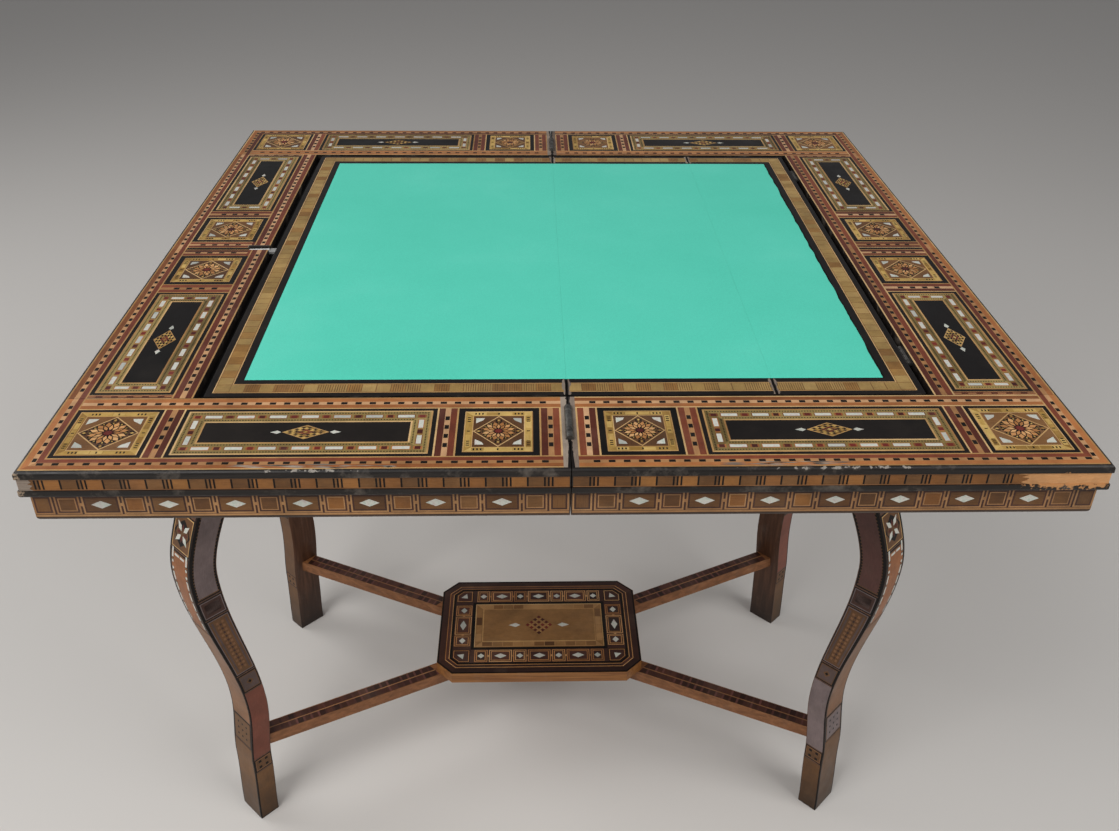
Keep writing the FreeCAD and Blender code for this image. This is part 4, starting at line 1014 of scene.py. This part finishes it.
# lowest and highest ends of what is laid on a side face, from the top down
SIDE_EDGE, BEADED, SQUARE, NET = (2, 597), (402, 580), (371, 400), (264, 369)
LOZENGED, PLAIN, DOTTED, SIDE_FOOT = (231, 262), (112, 229), (88, 110), (2, 86)
# and on the outer face, with the place of its panels' edges
OUTER_EDGE, CAP, FLOWER, LINED = (2, 688), (512, 597), (465, 509), (346, 463)
LONG_PART, SMALL, OUTER_FOOT = (174, 344), (130, 172), (2, 128)
OUTER_HALF, OUTER_LINE = LEG_HALF - 2.0, 1.5
# lines of the side panels; beads: inset, pitch, half sizes, room below and above
SIDE_LINE, BEADED_LINE, LOZENGED_LINE, INNER_LINE = 1.6, 2.0, 1.8, 0.9
BEAD_IN, BEAD_PITCH, BEAD, BEADS_FROM, BEADS_TO = 2.6, 4.2, (0.8, 1.2), 6, 4
# inset of the inner square; net: room, places and half widths of its strips, rows of beads
INNER_U, INNER_V = 5, 5.5
NET_ROOM, NET_SIDE, NET_SIDE_HALF, NET_HALF = 6, 11, 1.6, 7.6
NET_FROM, NET_TO, NET_PITCH = 11, 8, 7.0
NET_PAIR, PALE_BEAD, DARK_BEAD = np.array([-4.4, 4.4]), (2.0, 1.9), (1.6, 1.6)
# half sizes of both lozenges; pips of the dotted square and of the small panel: place, inset, half sizes
LEG_LOZENGE, LEG_HEART = (7, 5.5), (3.5, 2.8)
PIP_AT, PIP_IN, PIP = 7, 6, (3, 2)
SMALL_PIP_AT, SMALL_PIP_IN, SMALL_PIP = 9, 11, (1.4, 1.4)
# flower: circles of its ground; inner tip, shoulder, outer tip and spread of its petals
FLOWER_GROUND, FLOWER_PETAL, FLOWER_RED = (13.0, 16.0), (3.0, 9.0, 16.5, 0.36), (3.0, 7.0, 11.0, 0.25)
# pearls of the lined panel: inset, room below and above, pitch, half sizes, and the two that lie across it
LINED_IN, LINED_FROM, LINED_TO, LINED_PITCH = 4.6, 14, 3, 16.5
LINED_GROUND, LINED_PEARL = (2.2, 7.4), (1.5, 6.4)
CROSS_AT, CROSS_IN, CROSS_PEARL = 5.5, 5.0, (4.4, 1.3)
# woods of the beaded panel, the plain one and the small one outside, which differ from leg to leg
LEG_PANELS = {
    ("front", "left"): ("slate", "padauk", "umber"),
    ("front", "right"): ("sapele", "slate", "slate"),
    ("rear", "left"): ("aubergine", "walnut", "umber"),
    ("rear", "right"): ("sapele", "padauk", "umber"),
}


def eased(z, values):
    """Value at a height: between two stations it goes over in an S, 3 t squared less 2 t cubed."""
    index = np.clip(np.searchsorted(STATIONS, z, "right") - 1, 0, len(STATIONS) - 2)
    t = (z - STATIONS[index]) / (STATIONS[index + 1] - STATIONS[index])
    blend = t * t * (3 - 2 * t)
    return values[index] + (values[index + 1] - values[index]) * blend


def leg_surfaces(sx, sy):
    """Outer face, u across and v height, and both side faces, u from 0 at the outer corner to LEG_WIDE."""
    foot = np.array([BASE_X + sx * FOOT_X, sy * FOOT_Y, 0])
    out = np.array([sx, sy, 0]) / math.sqrt(2)
    across = np.array([-out[Y], out[X], 0])
    up = np.array([0, 0, 1.0])

    def outer(u, v, rise):
        """Places on the outer face; what stands out gets room for the bend between two cuts."""
        reach = eased(v, OUTER_AT) + (rise + CURVE_ROOM if rise > 0 else rise)
        return foot + reach[..., None] * out + u[..., None] * across + v[..., None] * up

    def side(way, u, v, rise):
        """Places on the side face of one way; u is stretched to the leg's width at each height."""
        reach = eased(v, OUTER_AT) - u / LEG_WIDE * eased(v, WIDTH_AT)
        return foot + reach[..., None] * out + way * (LEG_HALF + rise) * across + v[..., None] * up

    return outer, functools.partial(side, -1), functools.partial(side, 1)


def tall(u0, u1, z0, z1):
    """A strip up the leg cut at even heights, so that it bends with the leg and layers bend alike."""
    first, last = math.ceil(z0 / LEG_CUT + CUT_CLEAR), math.floor(z1 / LEG_CUT - CUT_CLEAR)
    cuts = np.concatenate([[z0], np.arange(first, last + 1) * LEG_CUT, [z1]])
    return bars(u0, u1, cuts[:-1], cuts[1:])


def dots(u, z, half_u, half_v):
    """Small rectangles at every pair of the places across and the heights."""
    u, z = [grid.ravel() for grid in np.meshgrid(u, z)]
    return bars(u - half_u, u + half_u, z - half_v, z + half_v)


def framed(u0, u1, z0, z1, line, inside, thread="apricot"):
    """Panel on a leg: black edge, a fine thread and a ground, each a little smaller than the last."""
    tiles = []
    for wood, inset, level in (("ebony", 0, LAYERS[0]), (thread, line, LAYERS[1]),
                               (inside, THREAD_TO * line, LAYERS[2])):
        tiles.append((wood, tall(u0 + inset, u1 - inset, z0 + inset, z1 - inset), level))
    return tiles


def leg_side(upper, plain):
    """Side face, from the top: beaded panel, square, bead net, lozenge square, plain panel, dotted square."""
    a, b = PANEL_FROM, PANEL_TO
    middle = (a + b) / 2
    tiles = [("ebony", tall(EDGE_FROM, a, *SIDE_EDGE), LAYERS[0])]
    tiles += framed(a, b, *BEADED, BEADED_LINE, upper, "walnut")
    beads = np.arange(BEADED[LOW] + BEADS_FROM, BEADED[HIGH] - BEADS_TO, BEAD_PITCH)
    for u in (a + BEAD_IN, b - BEAD_IN):
        tiles.append(("ebony", dots(u, beads, *BEAD), LAYERS[3]))
    tiles += framed(a, b, *SQUARE, SIDE_LINE, "mahogany", "slate")
    low, high = SQUARE[LOW] + INNER_V, SQUARE[HIGH] - INNER_V
    tiles += framed(a + INNER_U, b - INNER_U, low, high, INNER_LINE, "aubergine")
    tiles += framed(a, b, *NET, SIDE_LINE, "walnut", "slate")
    low, high = NET[LOW] + NET_ROOM, NET[HIGH] - NET_ROOM
    for u in (middle - NET_SIDE, middle + NET_SIDE):
        tiles.append(("aubergine", tall(u - NET_SIDE_HALF, u + NET_SIDE_HALF, low, high), LAYERS[3]))
    tiles.append(("umber", tall(middle - NET_HALF, middle + NET_HALF, low, high), LAYERS[3]))
    rows = np.arange(NET[LOW] + NET_FROM, NET[HIGH] - NET_TO, NET_PITCH)
    tiles.append(("fruitwood", dots(NET_PAIR + middle, rows, *PALE_BEAD), LAYERS[4]))
    tiles.append(("mahogany", dots(middle, rows[:-1] + NET_PITCH / 2, *DARK_BEAD), LAYERS[4]))
    tiles += framed(a, b, *LOZENGED, LOZENGED_LINE, "aubergine", "walnut")
    centre = span(*LOZENGED)[0]
    tiles.append(("umber", lozenges(middle, centre, *LEG_LOZENGE), LAYERS[3]))
    tiles.append(("ebony", lozenges(middle, centre, *LEG_HEART), LAYERS[4]))
    tiles.append((plain, tall(a, b, *PLAIN), LAYERS[0]))
    tiles += framed(a, b, *DOTTED, SIDE_LINE, "walnut", "fruitwood")
    tiles.append(("umber", tall(a, b, *SIDE_FOOT), LAYERS[0]))
    across = np.array([middle - PIP_AT, middle + PIP_AT])
    heights = np.array([DOTTED[LOW] + PIP_IN, DOTTED[HIGH] - PIP_IN])
    tiles.append(("ebony", dots(across, heights, *PIP), LAYERS[3]))
    return tiles


def leg_outer(small):
    """Outer face, from the top: pearl flower in a square, orange panel lined with pearls, a small panel."""
    w, line = OUTER_HALF, OUTER_LINE
    tiles = []
    for way in (-1, 1):
        u0, u1 = sorted((way * w, way * (LEG_HALF - EDGE_FROM)))
        tiles.append(("ebony", tall(u0, u1, *OUTER_EDGE), LAYERS[0]))
    tiles.append(("aubergine", tall(-w, w, *CAP), LAYERS[0]))
    tiles += framed(-w, w, *FLOWER, line, "walnut", "maple")
    centre = [0, span(*FLOWER)[0]]
    tiles.append(("ebony", star(4, *FLOWER_GROUND) + centre, LAYERS[3]))
    tiles.append(("pearl", kites(4, math.pi / 4, *FLOWER_PETAL) + centre, LAYERS[4]))
    tiles.append(("redheart", kites(4, 0, *FLOWER_RED) + centre, LAYERS[4]))
    tiles += framed(-w, w, *LINED, line, "apricot", "walnut")
    across = np.array([LINED_IN - w, w - LINED_IN])
    heights = np.arange(LINED[LOW] + LINED_FROM, LINED[HIGH] - LINED_TO, LINED_PITCH)
    tiles.append(("ebony", dots(across, heights, *LINED_GROUND), LAYERS[3]))
    tiles.append(("pearl", dots(across, heights, *LINED_PEARL), LAYERS[4]))
    across = np.array([-CROSS_AT, CROSS_AT])
    tiles.append(("pearl", dots(across, LINED[HIGH] - CROSS_IN, *CROSS_PEARL), LAYERS[4]))
    tiles.append(("fruitwood", tall(-w, w, *LONG_PART), LAYERS[0]))
    tiles += framed(-w, w, *SMALL, line, small, "walnut")
    tiles.append(("umber", tall(-w, w, *OUTER_FOOT), LAYERS[0]))
    across = np.linspace(-SMALL_PIP_AT, SMALL_PIP_AT, 3)
    heights = np.linspace(SMALL[LOW] + SMALL_PIP_IN, SMALL[HIGH] - SMALL_PIP_IN, 3)
    tiles.append(("ebony", dots(across, heights, *SMALL_PIP), LAYERS[3]))
    return tiles


for end, sy in (("front", -1), ("rear", 1)):
    for hand, sx in (("left", -1), ("right", 1)):
        outer, side_a, side_b = leg_surfaces(sx, sy)
        upper, plain, small = LEG_PANELS[end, hand]
        tiles = leg_side(upper, plain)
        laid = [(leg_outer(small), outer), (tiles, side_a), (tiles, side_b)]
        inlay(f"leg_{end}_{hand}_inlay", laid, "base", EVEN_TONES, even=True)


# Shelf

SHELF_CANT, SHELF_ROOM = 22.0, 0.3
# rings at the shelf's edge, and strips round its field, as (wood, width)
SHELF_RINGS = (("ebony", 2.4), ("mahogany", 8.5), ("tan", 0.9), ("mahogany", 4.2), ("tan", 0.9),
               ("ebony", 3.6))
FIELD_STRIPS = (("ebony", 4.5), ("maple", 1.0), ("straw", 10.0), ("maple", 1.3))
# ring of cells: its width, room, tie, and (kinds, square, oblong) along the front and along a side
CELL_BAND, CELL_ROOM, CELL_LINK = 25.5, 2.4, 2.2
SHELF_ROW, SHELF_COLUMN = ("prprprp", 18.4, 32.0), ("prp", 21.5, 37.0)
# corner cells as (wood, size, level) and the pearl in them
CORNER_CELL = (("ebony", 0.95, LAYERS[1]), ("tan", 0.87, LAYERS[2]), ("mahogany", 0.8, LAYERS[3]))
CORNER_SLIP = np.array([[-4.5, -4.5], [5.5, -3.0], [-3.0, 5.5]])
# blocks round the field: width, pitch, half length, room, and the shares that are dark or left out
FIELD_BLOCKS, FIELD_PITCH, FIELD_HALF, FIELD_ROOM = 10.0, 15, 0.47, 1
DARK_SHARE, PLAIN_SHARE = 0.25, 0.45
# lozenge in the field: a row of its rhombs, their pitch and size, its outlines, and the pearl drops
FIELD_ROW, FIELD_STEP, FIELD_RHOMB = np.array([-1.5, -0.5, 0.5, 1.5]), 5.4, 0.6
FIELD_LINES = (("maple", 4.6, LAYERS[2]), ("straw", 4.35, LAYERS[3]))
FIELD_DROP = np.array([[[27, 0], [34, -4.2], [44, 0], [34, 4.2]]])


def octagon(u, v, cant):
    """Corners of a rectangle of half sizes u, v with its corners cut off at 45 degrees."""
    quarter = np.array([[u, v - cant], [u - cant, v]])
    left = (quarter * [-1, 1])[::-1]
    return np.concatenate([quarter, left, -quarter, -left])


def field_blocks(length, depth):
    """One side of the shelf's block band: blocks of two tones at seeded places, some left out."""
    middles, pitch = steps(length - 2 * FIELD_BLOCKS, FIELD_PITCH)
    half = FIELD_HALF * pitch
    blocks = bars(middles - half, middles + half, depth - FIELD_BLOCKS + FIELD_ROOM, depth - FIELD_ROOM)
    pick = rng.uniform(0, 1, len(middles))
    kinds = (("umber", pick < DARK_SHARE), ("straw", pick > PLAIN_SHARE))
    return [(wood, blocks[keep], LAYERS[2]) for wood, keep in kinds if keep.any()]


def shelf_top(u, v, cant):
    """Shelf seen from above: banded edge, a ring of pearl cells, and a field with a checkered lozenge.

    The cut corners shrink from ring to ring so that every strip of a ring has the same width.
    """
    tiles = []
    for wood, width in SHELF_RINGS:
        outer = octagon(u, v, cant)
        u, v, cant = u - width, v - width, cant - width * (2 - math.sqrt(2))
        inner = octagon(u, v, cant)
        ring = np.stack([outer, np.roll(outer, -1, 0), np.roll(inner, -1, 0), inner], 1)
        tiles.append((wood, ring, LAYERS[0]))
    tiles.append(("mahogany", octagon(u, v, cant)[None], LAYERS[0]))
    a, b = u - CELL_BAND, v - CELL_BAND
    height = CELL_BAND - CELL_ROOM
    row = cell_row(*SHELF_ROW, height, CELL_LINK, "mahogany", SHELF_EDGING)[0]
    for turns in (0, 2):
        tiles += placed(row, 0, (1 - turns) * (b + CELL_BAND / 2), turns)
    column = cell_row(*SHELF_COLUMN, height, CELL_LINK, "mahogany", SHELF_EDGING)[0]
    for turns in (1, 3):
        tiles += placed(column, (turns - 2) * (a + CELL_BAND / 2), 0, turns)
    corner = np.array([[a, b], [u, b], [u, v - cant], [u - cant, v], [a, v]])
    middle = corner.mean(0)
    for flip in FOUR_WAYS:
        for wood, size, level in CORNER_CELL:
            tiles.append((wood, ((corner - middle) * size + middle)[None] * flip, level))
        tiles.append(("pearl", (middle + CORNER_SLIP)[None] * flip, LAYERS[4]))
    for wood, width in FIELD_STRIPS:
        tiles.append((wood, frame_strips(a, b, width), LAYERS[1]))
        if width == FIELD_BLOCKS:
            tiles += four_sides(a, b, field_blocks)
        a, b = a - width, b - width
    tiles.append(("straw", bars(-a, a, -b, b), LAYERS[1]))
    for wood, size, level in FIELD_LINES:
        half = size * FIELD_STEP / FIELD_ROW[-1]
        tiles.append((wood, lozenges(0, 0, half, half), level))
    i, j = [grid.ravel() * FIELD_STEP for grid in np.meshgrid(FIELD_ROW, FIELD_ROW)]
    half = FIELD_RHOMB * FIELD_STEP
    tiles.append(("redheart", lozenges(i + j, i - j, half, half), LAYERS[4]))
    for flip in (-1, 1):
        tiles.append(("pearl", FIELD_DROP * [flip, 1], LAYERS[2]))
    return tiles


shelf_half = (SHELF_HIGH - SHELF_LOW) / 2
tiles = placed(shelf_top(shelf_half[X] - SHELF_ROOM, shelf_half[Y] - SHELF_ROOM, SHELF_CANT), BASE_X, 0)
inlay("shelf_inlay", [(tiles, level_surface(SHELF_HIGH[Z]))], "base")


# Stretchers

# their direction comes from the leg's foot, less the share that the leg takes up
LEG_TAKES = 12.4
BAR_ANGLE = math.atan2(FOOT_Y - LEG_TAKES, FOOT_X - LEG_TAKES)
BAR_HALF, BAR_TO, BAR_TILE, BAR_UNEVEN, BAR_ROOM = 11.5, 400.0, 5.0, -2.2, 0.1
BAR_LIGHT_EDGE, BAR_LIGHT_MIDDLE, BAR_SHORTEST, SHELF_GAP = 1.1, 0.8, 0.5, 0.5


def bar_lines():
    """Along the top of the four arms: light edges, two dark bands of uneven tiles, a light middle line.

    An arm starts at the cut corner of the shelf, where x + y is the two half sizes less the cut, so a point
    at v across the arm starts at (that sum - v (cos - sin)) / (cos + sin) along it.
    """
    cos, sin = math.cos(BAR_ANGLE), math.sin(BAR_ANGLE)
    corner = shelf_half[X] + shelf_half[Y] - SHELF_CANT + SHELF_GAP
    first = math.floor(corner / (cos + sin) / BAR_TILE)
    cuts = np.append(np.arange(first, math.ceil(BAR_TO / BAR_TILE)) * BAR_TILE, BAR_TO)
    cuts[1:-1:2] += BAR_UNEVEN
    light, dark, edge = BAR_LIGHT_MIDDLE, BAR_HALF - BAR_LIGHT_EDGE, BAR_HALF - BAR_ROOM
    arm = []
    for low, high in ((-dark, -light), (light, dark)):
        band = bars(cuts[:-1], cuts[1:], low, high)
        arm += [("sapele", band[::2]), ("mahogany", band[1::2])]
    for low, high in ((-edge, -dark), (-light, light), (dark, edge)):
        arm.append(("fruitwood", bars(cuts[0], BAR_TO, low, high)))
    tiles = []
    for wood, strip in arm:
        u, v = strip[..., 0], strip[..., 1]
        u = np.maximum(u, (corner - v * (cos - sin)) / (cos + sin))
        long_enough = np.ptp(u, axis=1) > BAR_SHORTEST
        turned = np.stack([u * cos - v * sin, u * sin + v * cos], -1)[long_enough]
        for flip in FOUR_WAYS:
            tiles.append((wood, turned * flip + [BASE_X, 0], LAYERS[0]))
    return tiles


inlay("stretcher_lines", [(bar_lines(), level_surface(BAR_TOP))], "base")


# Black tile beside the catch: painted shade of its slot

SLOT_SHADE_PAST, SLOT_SHADE_DEPTH, SLOT_SHADE_EDGE, SLOT_SHADE_BACK = 1.5, 7.0, 0.9, 0.6


def catch_slot_shade():
    """Black tile let into the border behind the catch as painted shade of its slot, with a pale grey edge on
    two sides.
    """
    left, right = CATCH_LOW[X] - SLOT_SHADE_PAST, -OPENING - SLOT_SHADE_BACK
    near, far = SLOT_HALF, SLOT_HALF + SLOT_SHADE_DEPTH
    # painted shade: a black tile where the slot lies in shade, over a grey tile that shows as its pale edge
    rubbed = bars(left, right, near, far)
    dark = bars(left + SLOT_SHADE_EDGE, right, near, far - SLOT_SHADE_EDGE)
    return [("scuffed", rubbed, LAYERS[4]), ("ebony", dark, LAYERS[5])]


inlay("catch_slot_shade", [(catch_slot_shade(), level_surface(TOP))], "left_leaf")


# Show side of the right leaf: it lies underneath in the open table and is the top of the shut one

SHUT_MARGIN, SHUT_GUARD, SHUT_LEAVES = 7.0, 15.0, 4
SHUT_LINES = (("ebony", 2.2), ("maple", 1.0), ("ebony", 1.2))
COLUMN_U, COLUMN_V, COLUMN_GUARD = 62.0, 250.0, 13.0
PANEL_HALF, PANEL_LONG, PANEL_PLACE = 48.0, 136.0, 188.0
# share of a layer's height that is left here, because the rails pass 0.3 mm below
SHUT_RISE = 0.6


def guard_ring(u, v, width):
    """Four mitred guards along the sides of a rectangle of half sizes u, v, each turned a quarter more."""
    tiles = []
    for turns, (way_u, way_v) in enumerate(((0, -1), (1, 0), (0, 1), (-1, 0))):
        along = v if turns % 2 else u
        place = (way_u * (u - width / 2), way_v * (v - width / 2))
        tiles += placed(guard(2 * along, width, mitre=(-1, -1)), *place, turns)
    return tiles


def shut_top(u, v):
    """Top of the shut table: walnut leaves, a guard and lines round them, panels down the middle."""
    cuts = np.linspace(-u, u, SHUT_LEAVES + 1)
    tiles = [("walnut", bars(cuts[:-1], cuts[1:], -v, v), LAYERS[0])]
    u, v = u - SHUT_MARGIN, v - SHUT_MARGIN
    rings = guard_ring(u, v, SHUT_GUARD) + guard_ring(COLUMN_U, COLUMN_V, COLUMN_GUARD)
    tiles += [(wood, polygons, level + LAYERS[1]) for wood, polygons, level in rings]
    u, v = u - SHUT_GUARD - SHUT_MARGIN, v - SHUT_GUARD - SHUT_MARGIN
    for wood, width in SHUT_LINES:
        tiles.append((wood, frame_strips(u, v, width), LAYERS[1]))
        u, v = u - width, v - width
    tiles += placed(long_panel(PANEL_LONG, PANEL_HALF), 0, 0, 1)
    for way in (-1, 1):
        tiles += placed(star_square(PANEL_HALF, PANEL_HALF, SMALL_BLACK), 0, way * PANEL_PLACE)
    return tiles


def shut_surface(u, v, rise):
    """Places on the right leaf's underside: u is X from its middle, v is Y turned round, a rise goes down."""
    middle = (SHUT_LOW[X] + SHUT_HIGH[X]) / 2
    return np.stack([middle + u, -v, np.full(np.shape(u), SHUT_LOW[Z] - SHUT_RISE * rise)], -1)


shut_half = (SHUT_HIGH - SHUT_LOW) / 2
inlay("shut_top_inlay", [(shut_top(shut_half[X], shut_half[Y]), shut_surface)], "right_leaf")


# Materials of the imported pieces

# grain in turns for each metre: streaks about 110 mm long and 6 mm wide
ALONG_X, ALONG_Y, ALONG_Z = (9.0, 160.0, 160.0), (160.0, 9.0, 160.0), (160.0, 160.0, 9.0)
# where the black has gone: a broken edge, a knocked corner and scuffs along the front
CHIP, SCUFF = 2.05, 1.4
BARED = [("#B98452", (0.415, -0.45, 0.727), (0.05, 0.012, 0.009), CHIP),
         ("#8E7B66", (-0.45, -0.45, 0.729), (0.009, 0.009, 0.014), CHIP),
         ("#8A837A", (-0.22, -0.449, 0.743), (0.12, 0.005, 0.004), SCUFF),
         ("#8A837A", (0.23, -0.449, 0.743), (0.15, 0.005, 0.004), SCUFF)]


def dress(made, *starts):
    """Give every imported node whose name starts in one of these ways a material."""
    for name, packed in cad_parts.items():
        if name.startswith(starts):
            for holder in packed.material_slots:
                holder.material = made


# black edges, rubbed grey along the front
dress(solid_wood("beech_ebonised_worn", "#120E0C", "#1A1512", "#2C2520", ALONG_X, 0.42, worn=0.4,
                 bared=BARED),
      "left_border", "right_border")
# quiet black of boards and wells
dress(solid_wood("beech_stained_black", "#100D0B", "#181411", "#241E1A", ALONG_Y, 0.5),
      "left_board", "right_board", "left_well", "right_well", "left_seam", "right_seam")
# dark brown of the aprons, which shows in the joints of the frieze
dress(solid_wood("walnut_planed_dark", "#2A1A10", "#3A2617", "#4C3320", ALONG_X, 0.42),
      "left_apron", "right_apron")
# warm brown of the legs, darker at the scuffed feet
dress(solid_wood("walnut_sawn_polished", "#422A1C", "#573928", "#6C4A35", ALONG_Z, 0.38, "#241B16"), "leg_")
# pale, dry wood where nothing shows, and stained wood where the shut table shows it
dress(solid_wood("poplar_sawn", "#8A6B48", "#A08058", "#B5966C", ALONG_X, 0.7),
      "pivot_bearer", "left_bottom")
dress(solid_wood("walnut_planed_stained", "#46301F", "#5C4029", "#715236", ALONG_X, 0.48),
      "rail_", "right_bottom")
# orange brown of stretchers and shelf
dress(solid_wood("beech_planed_oiled", "#684225", "#805231", "#96653F", ALONG_X, 0.45), "stretcher_")
dress(solid_wood("walnut_planed_light", "#6B4020", "#8A5A2E", "#A06E3C", ALONG_X, 0.38), "centre_shelf")
# dull grey fittings, darker turned ones and the bright catch
dress(metal("steel_rolled_dull", "#4A4744", "#85827D", 0.44),
      "front_hinge", "rear_hinge", "board_hinge", "left_hinge", "right_hinge", "shelf_screws")
dress(metal("steel_turned_oiled", "#3C3835", "#6E6A66", 0.38), "pivot_bolt", "pivot_nut", "pivot_washer")
dress(metal("steel_rubbed_bright", "#BDBBB6", "#E9E8E4", 0.42), "board_catch")


# Camera fitted to the photograph, light and floor

IMAGE_WIDTH, FOCAL_PIXELS, SENSOR = 1119, 1075.8, 36
EYE = (-0.0341, -1.1678, 1.2446)
YAW, PITCH, ROLL = (math.radians(angle) for angle in (1.88, 32.05, -0.72))
FLOOR_REACH = 6.0


def camera():
    """Camera at the photograph's place: looks along the yaw and pitch, turned by the roll about its view."""
    forward = np.array([math.sin(YAW) * math.cos(PITCH), math.cos(YAW) * math.cos(PITCH), -math.sin(PITCH)])
    right = np.array([math.cos(YAW), -math.sin(YAW), 0])
    down = np.cross(forward, right)
    across = right * math.cos(ROLL) + down * math.sin(ROLL)
    below = down * math.cos(ROLL) - right * math.sin(ROLL)
    lens = bpy.data.cameras.new("camera")
    lens.sensor_fit = "HORIZONTAL"
    lens.sensor_width = SENSOR
    lens.lens = FOCAL_PIXELS / IMAGE_WIDTH * SENSOR
    eye = bpy.data.objects.new("camera", lens)
    turn = Matrix(np.stack([across, -below, -forward], 1).tolist()).to_4x4()
    eye.matrix_world = Matrix.Translation(EYE) @ turn
    bpy.context.scene.collection.objects.link(eye)
    bpy.context.scene.camera = eye


def lamp(name, place, aim, power, size):
    """Square soft lamp that looks at a point."""
    light = bpy.data.lights.new(name, "AREA")
    light.energy = power
    light.size = size
    made = bpy.data.objects.new(name, light)
    made.location = place
    made.rotation_euler = (Vector(place) - Vector(aim)).to_track_quat("Z", "Y").to_euler()
    bpy.context.scene.collection.objects.link(made)


def floor():
    """Plain pale floor, large enough to fill the view."""
    corners = [(u * FLOOR_REACH, v * FLOOR_REACH, 0) for u, v in ((-1, -1), (1, -1), (1, 1), (-1, 1))]
    mesh = bpy.data.meshes.new("floor")
    mesh.from_pydata(corners, [], [(0, 1, 2, 3)])
    made, _, shader = material("floor_pale_matt")
    fill(shader, {"Base Color": linear("#CFCBC6"), "Roughness": 0.9})
    mesh.materials.append(made)
    ground = bpy.data.objects.new("floor", mesh)
    bpy.context.scene.collection.objects.link(ground)


camera()
floor()
world = bpy.data.worlds.new("studio")
world.use_nodes = True
fill(world.node_tree.nodes["Background"], {"Color": linear("#E8E9EC"), "Strength": 0.27})
bpy.context.scene.world = world
lamp("key", (-1.7, -1.9, 2.8), aim=(0, 0, 0.5), power=70, size=1.8)
lamp("fill", (2.1, -1.5, 2.5), aim=(0, 0, 0.5), power=46, size=1.8)
lamp("side", (-2.4, 0.9, 2.4), aim=(0, 0, 0.6), power=25, size=1.6)
bpy.context.scene.view_settings.view_transform = "Standard"
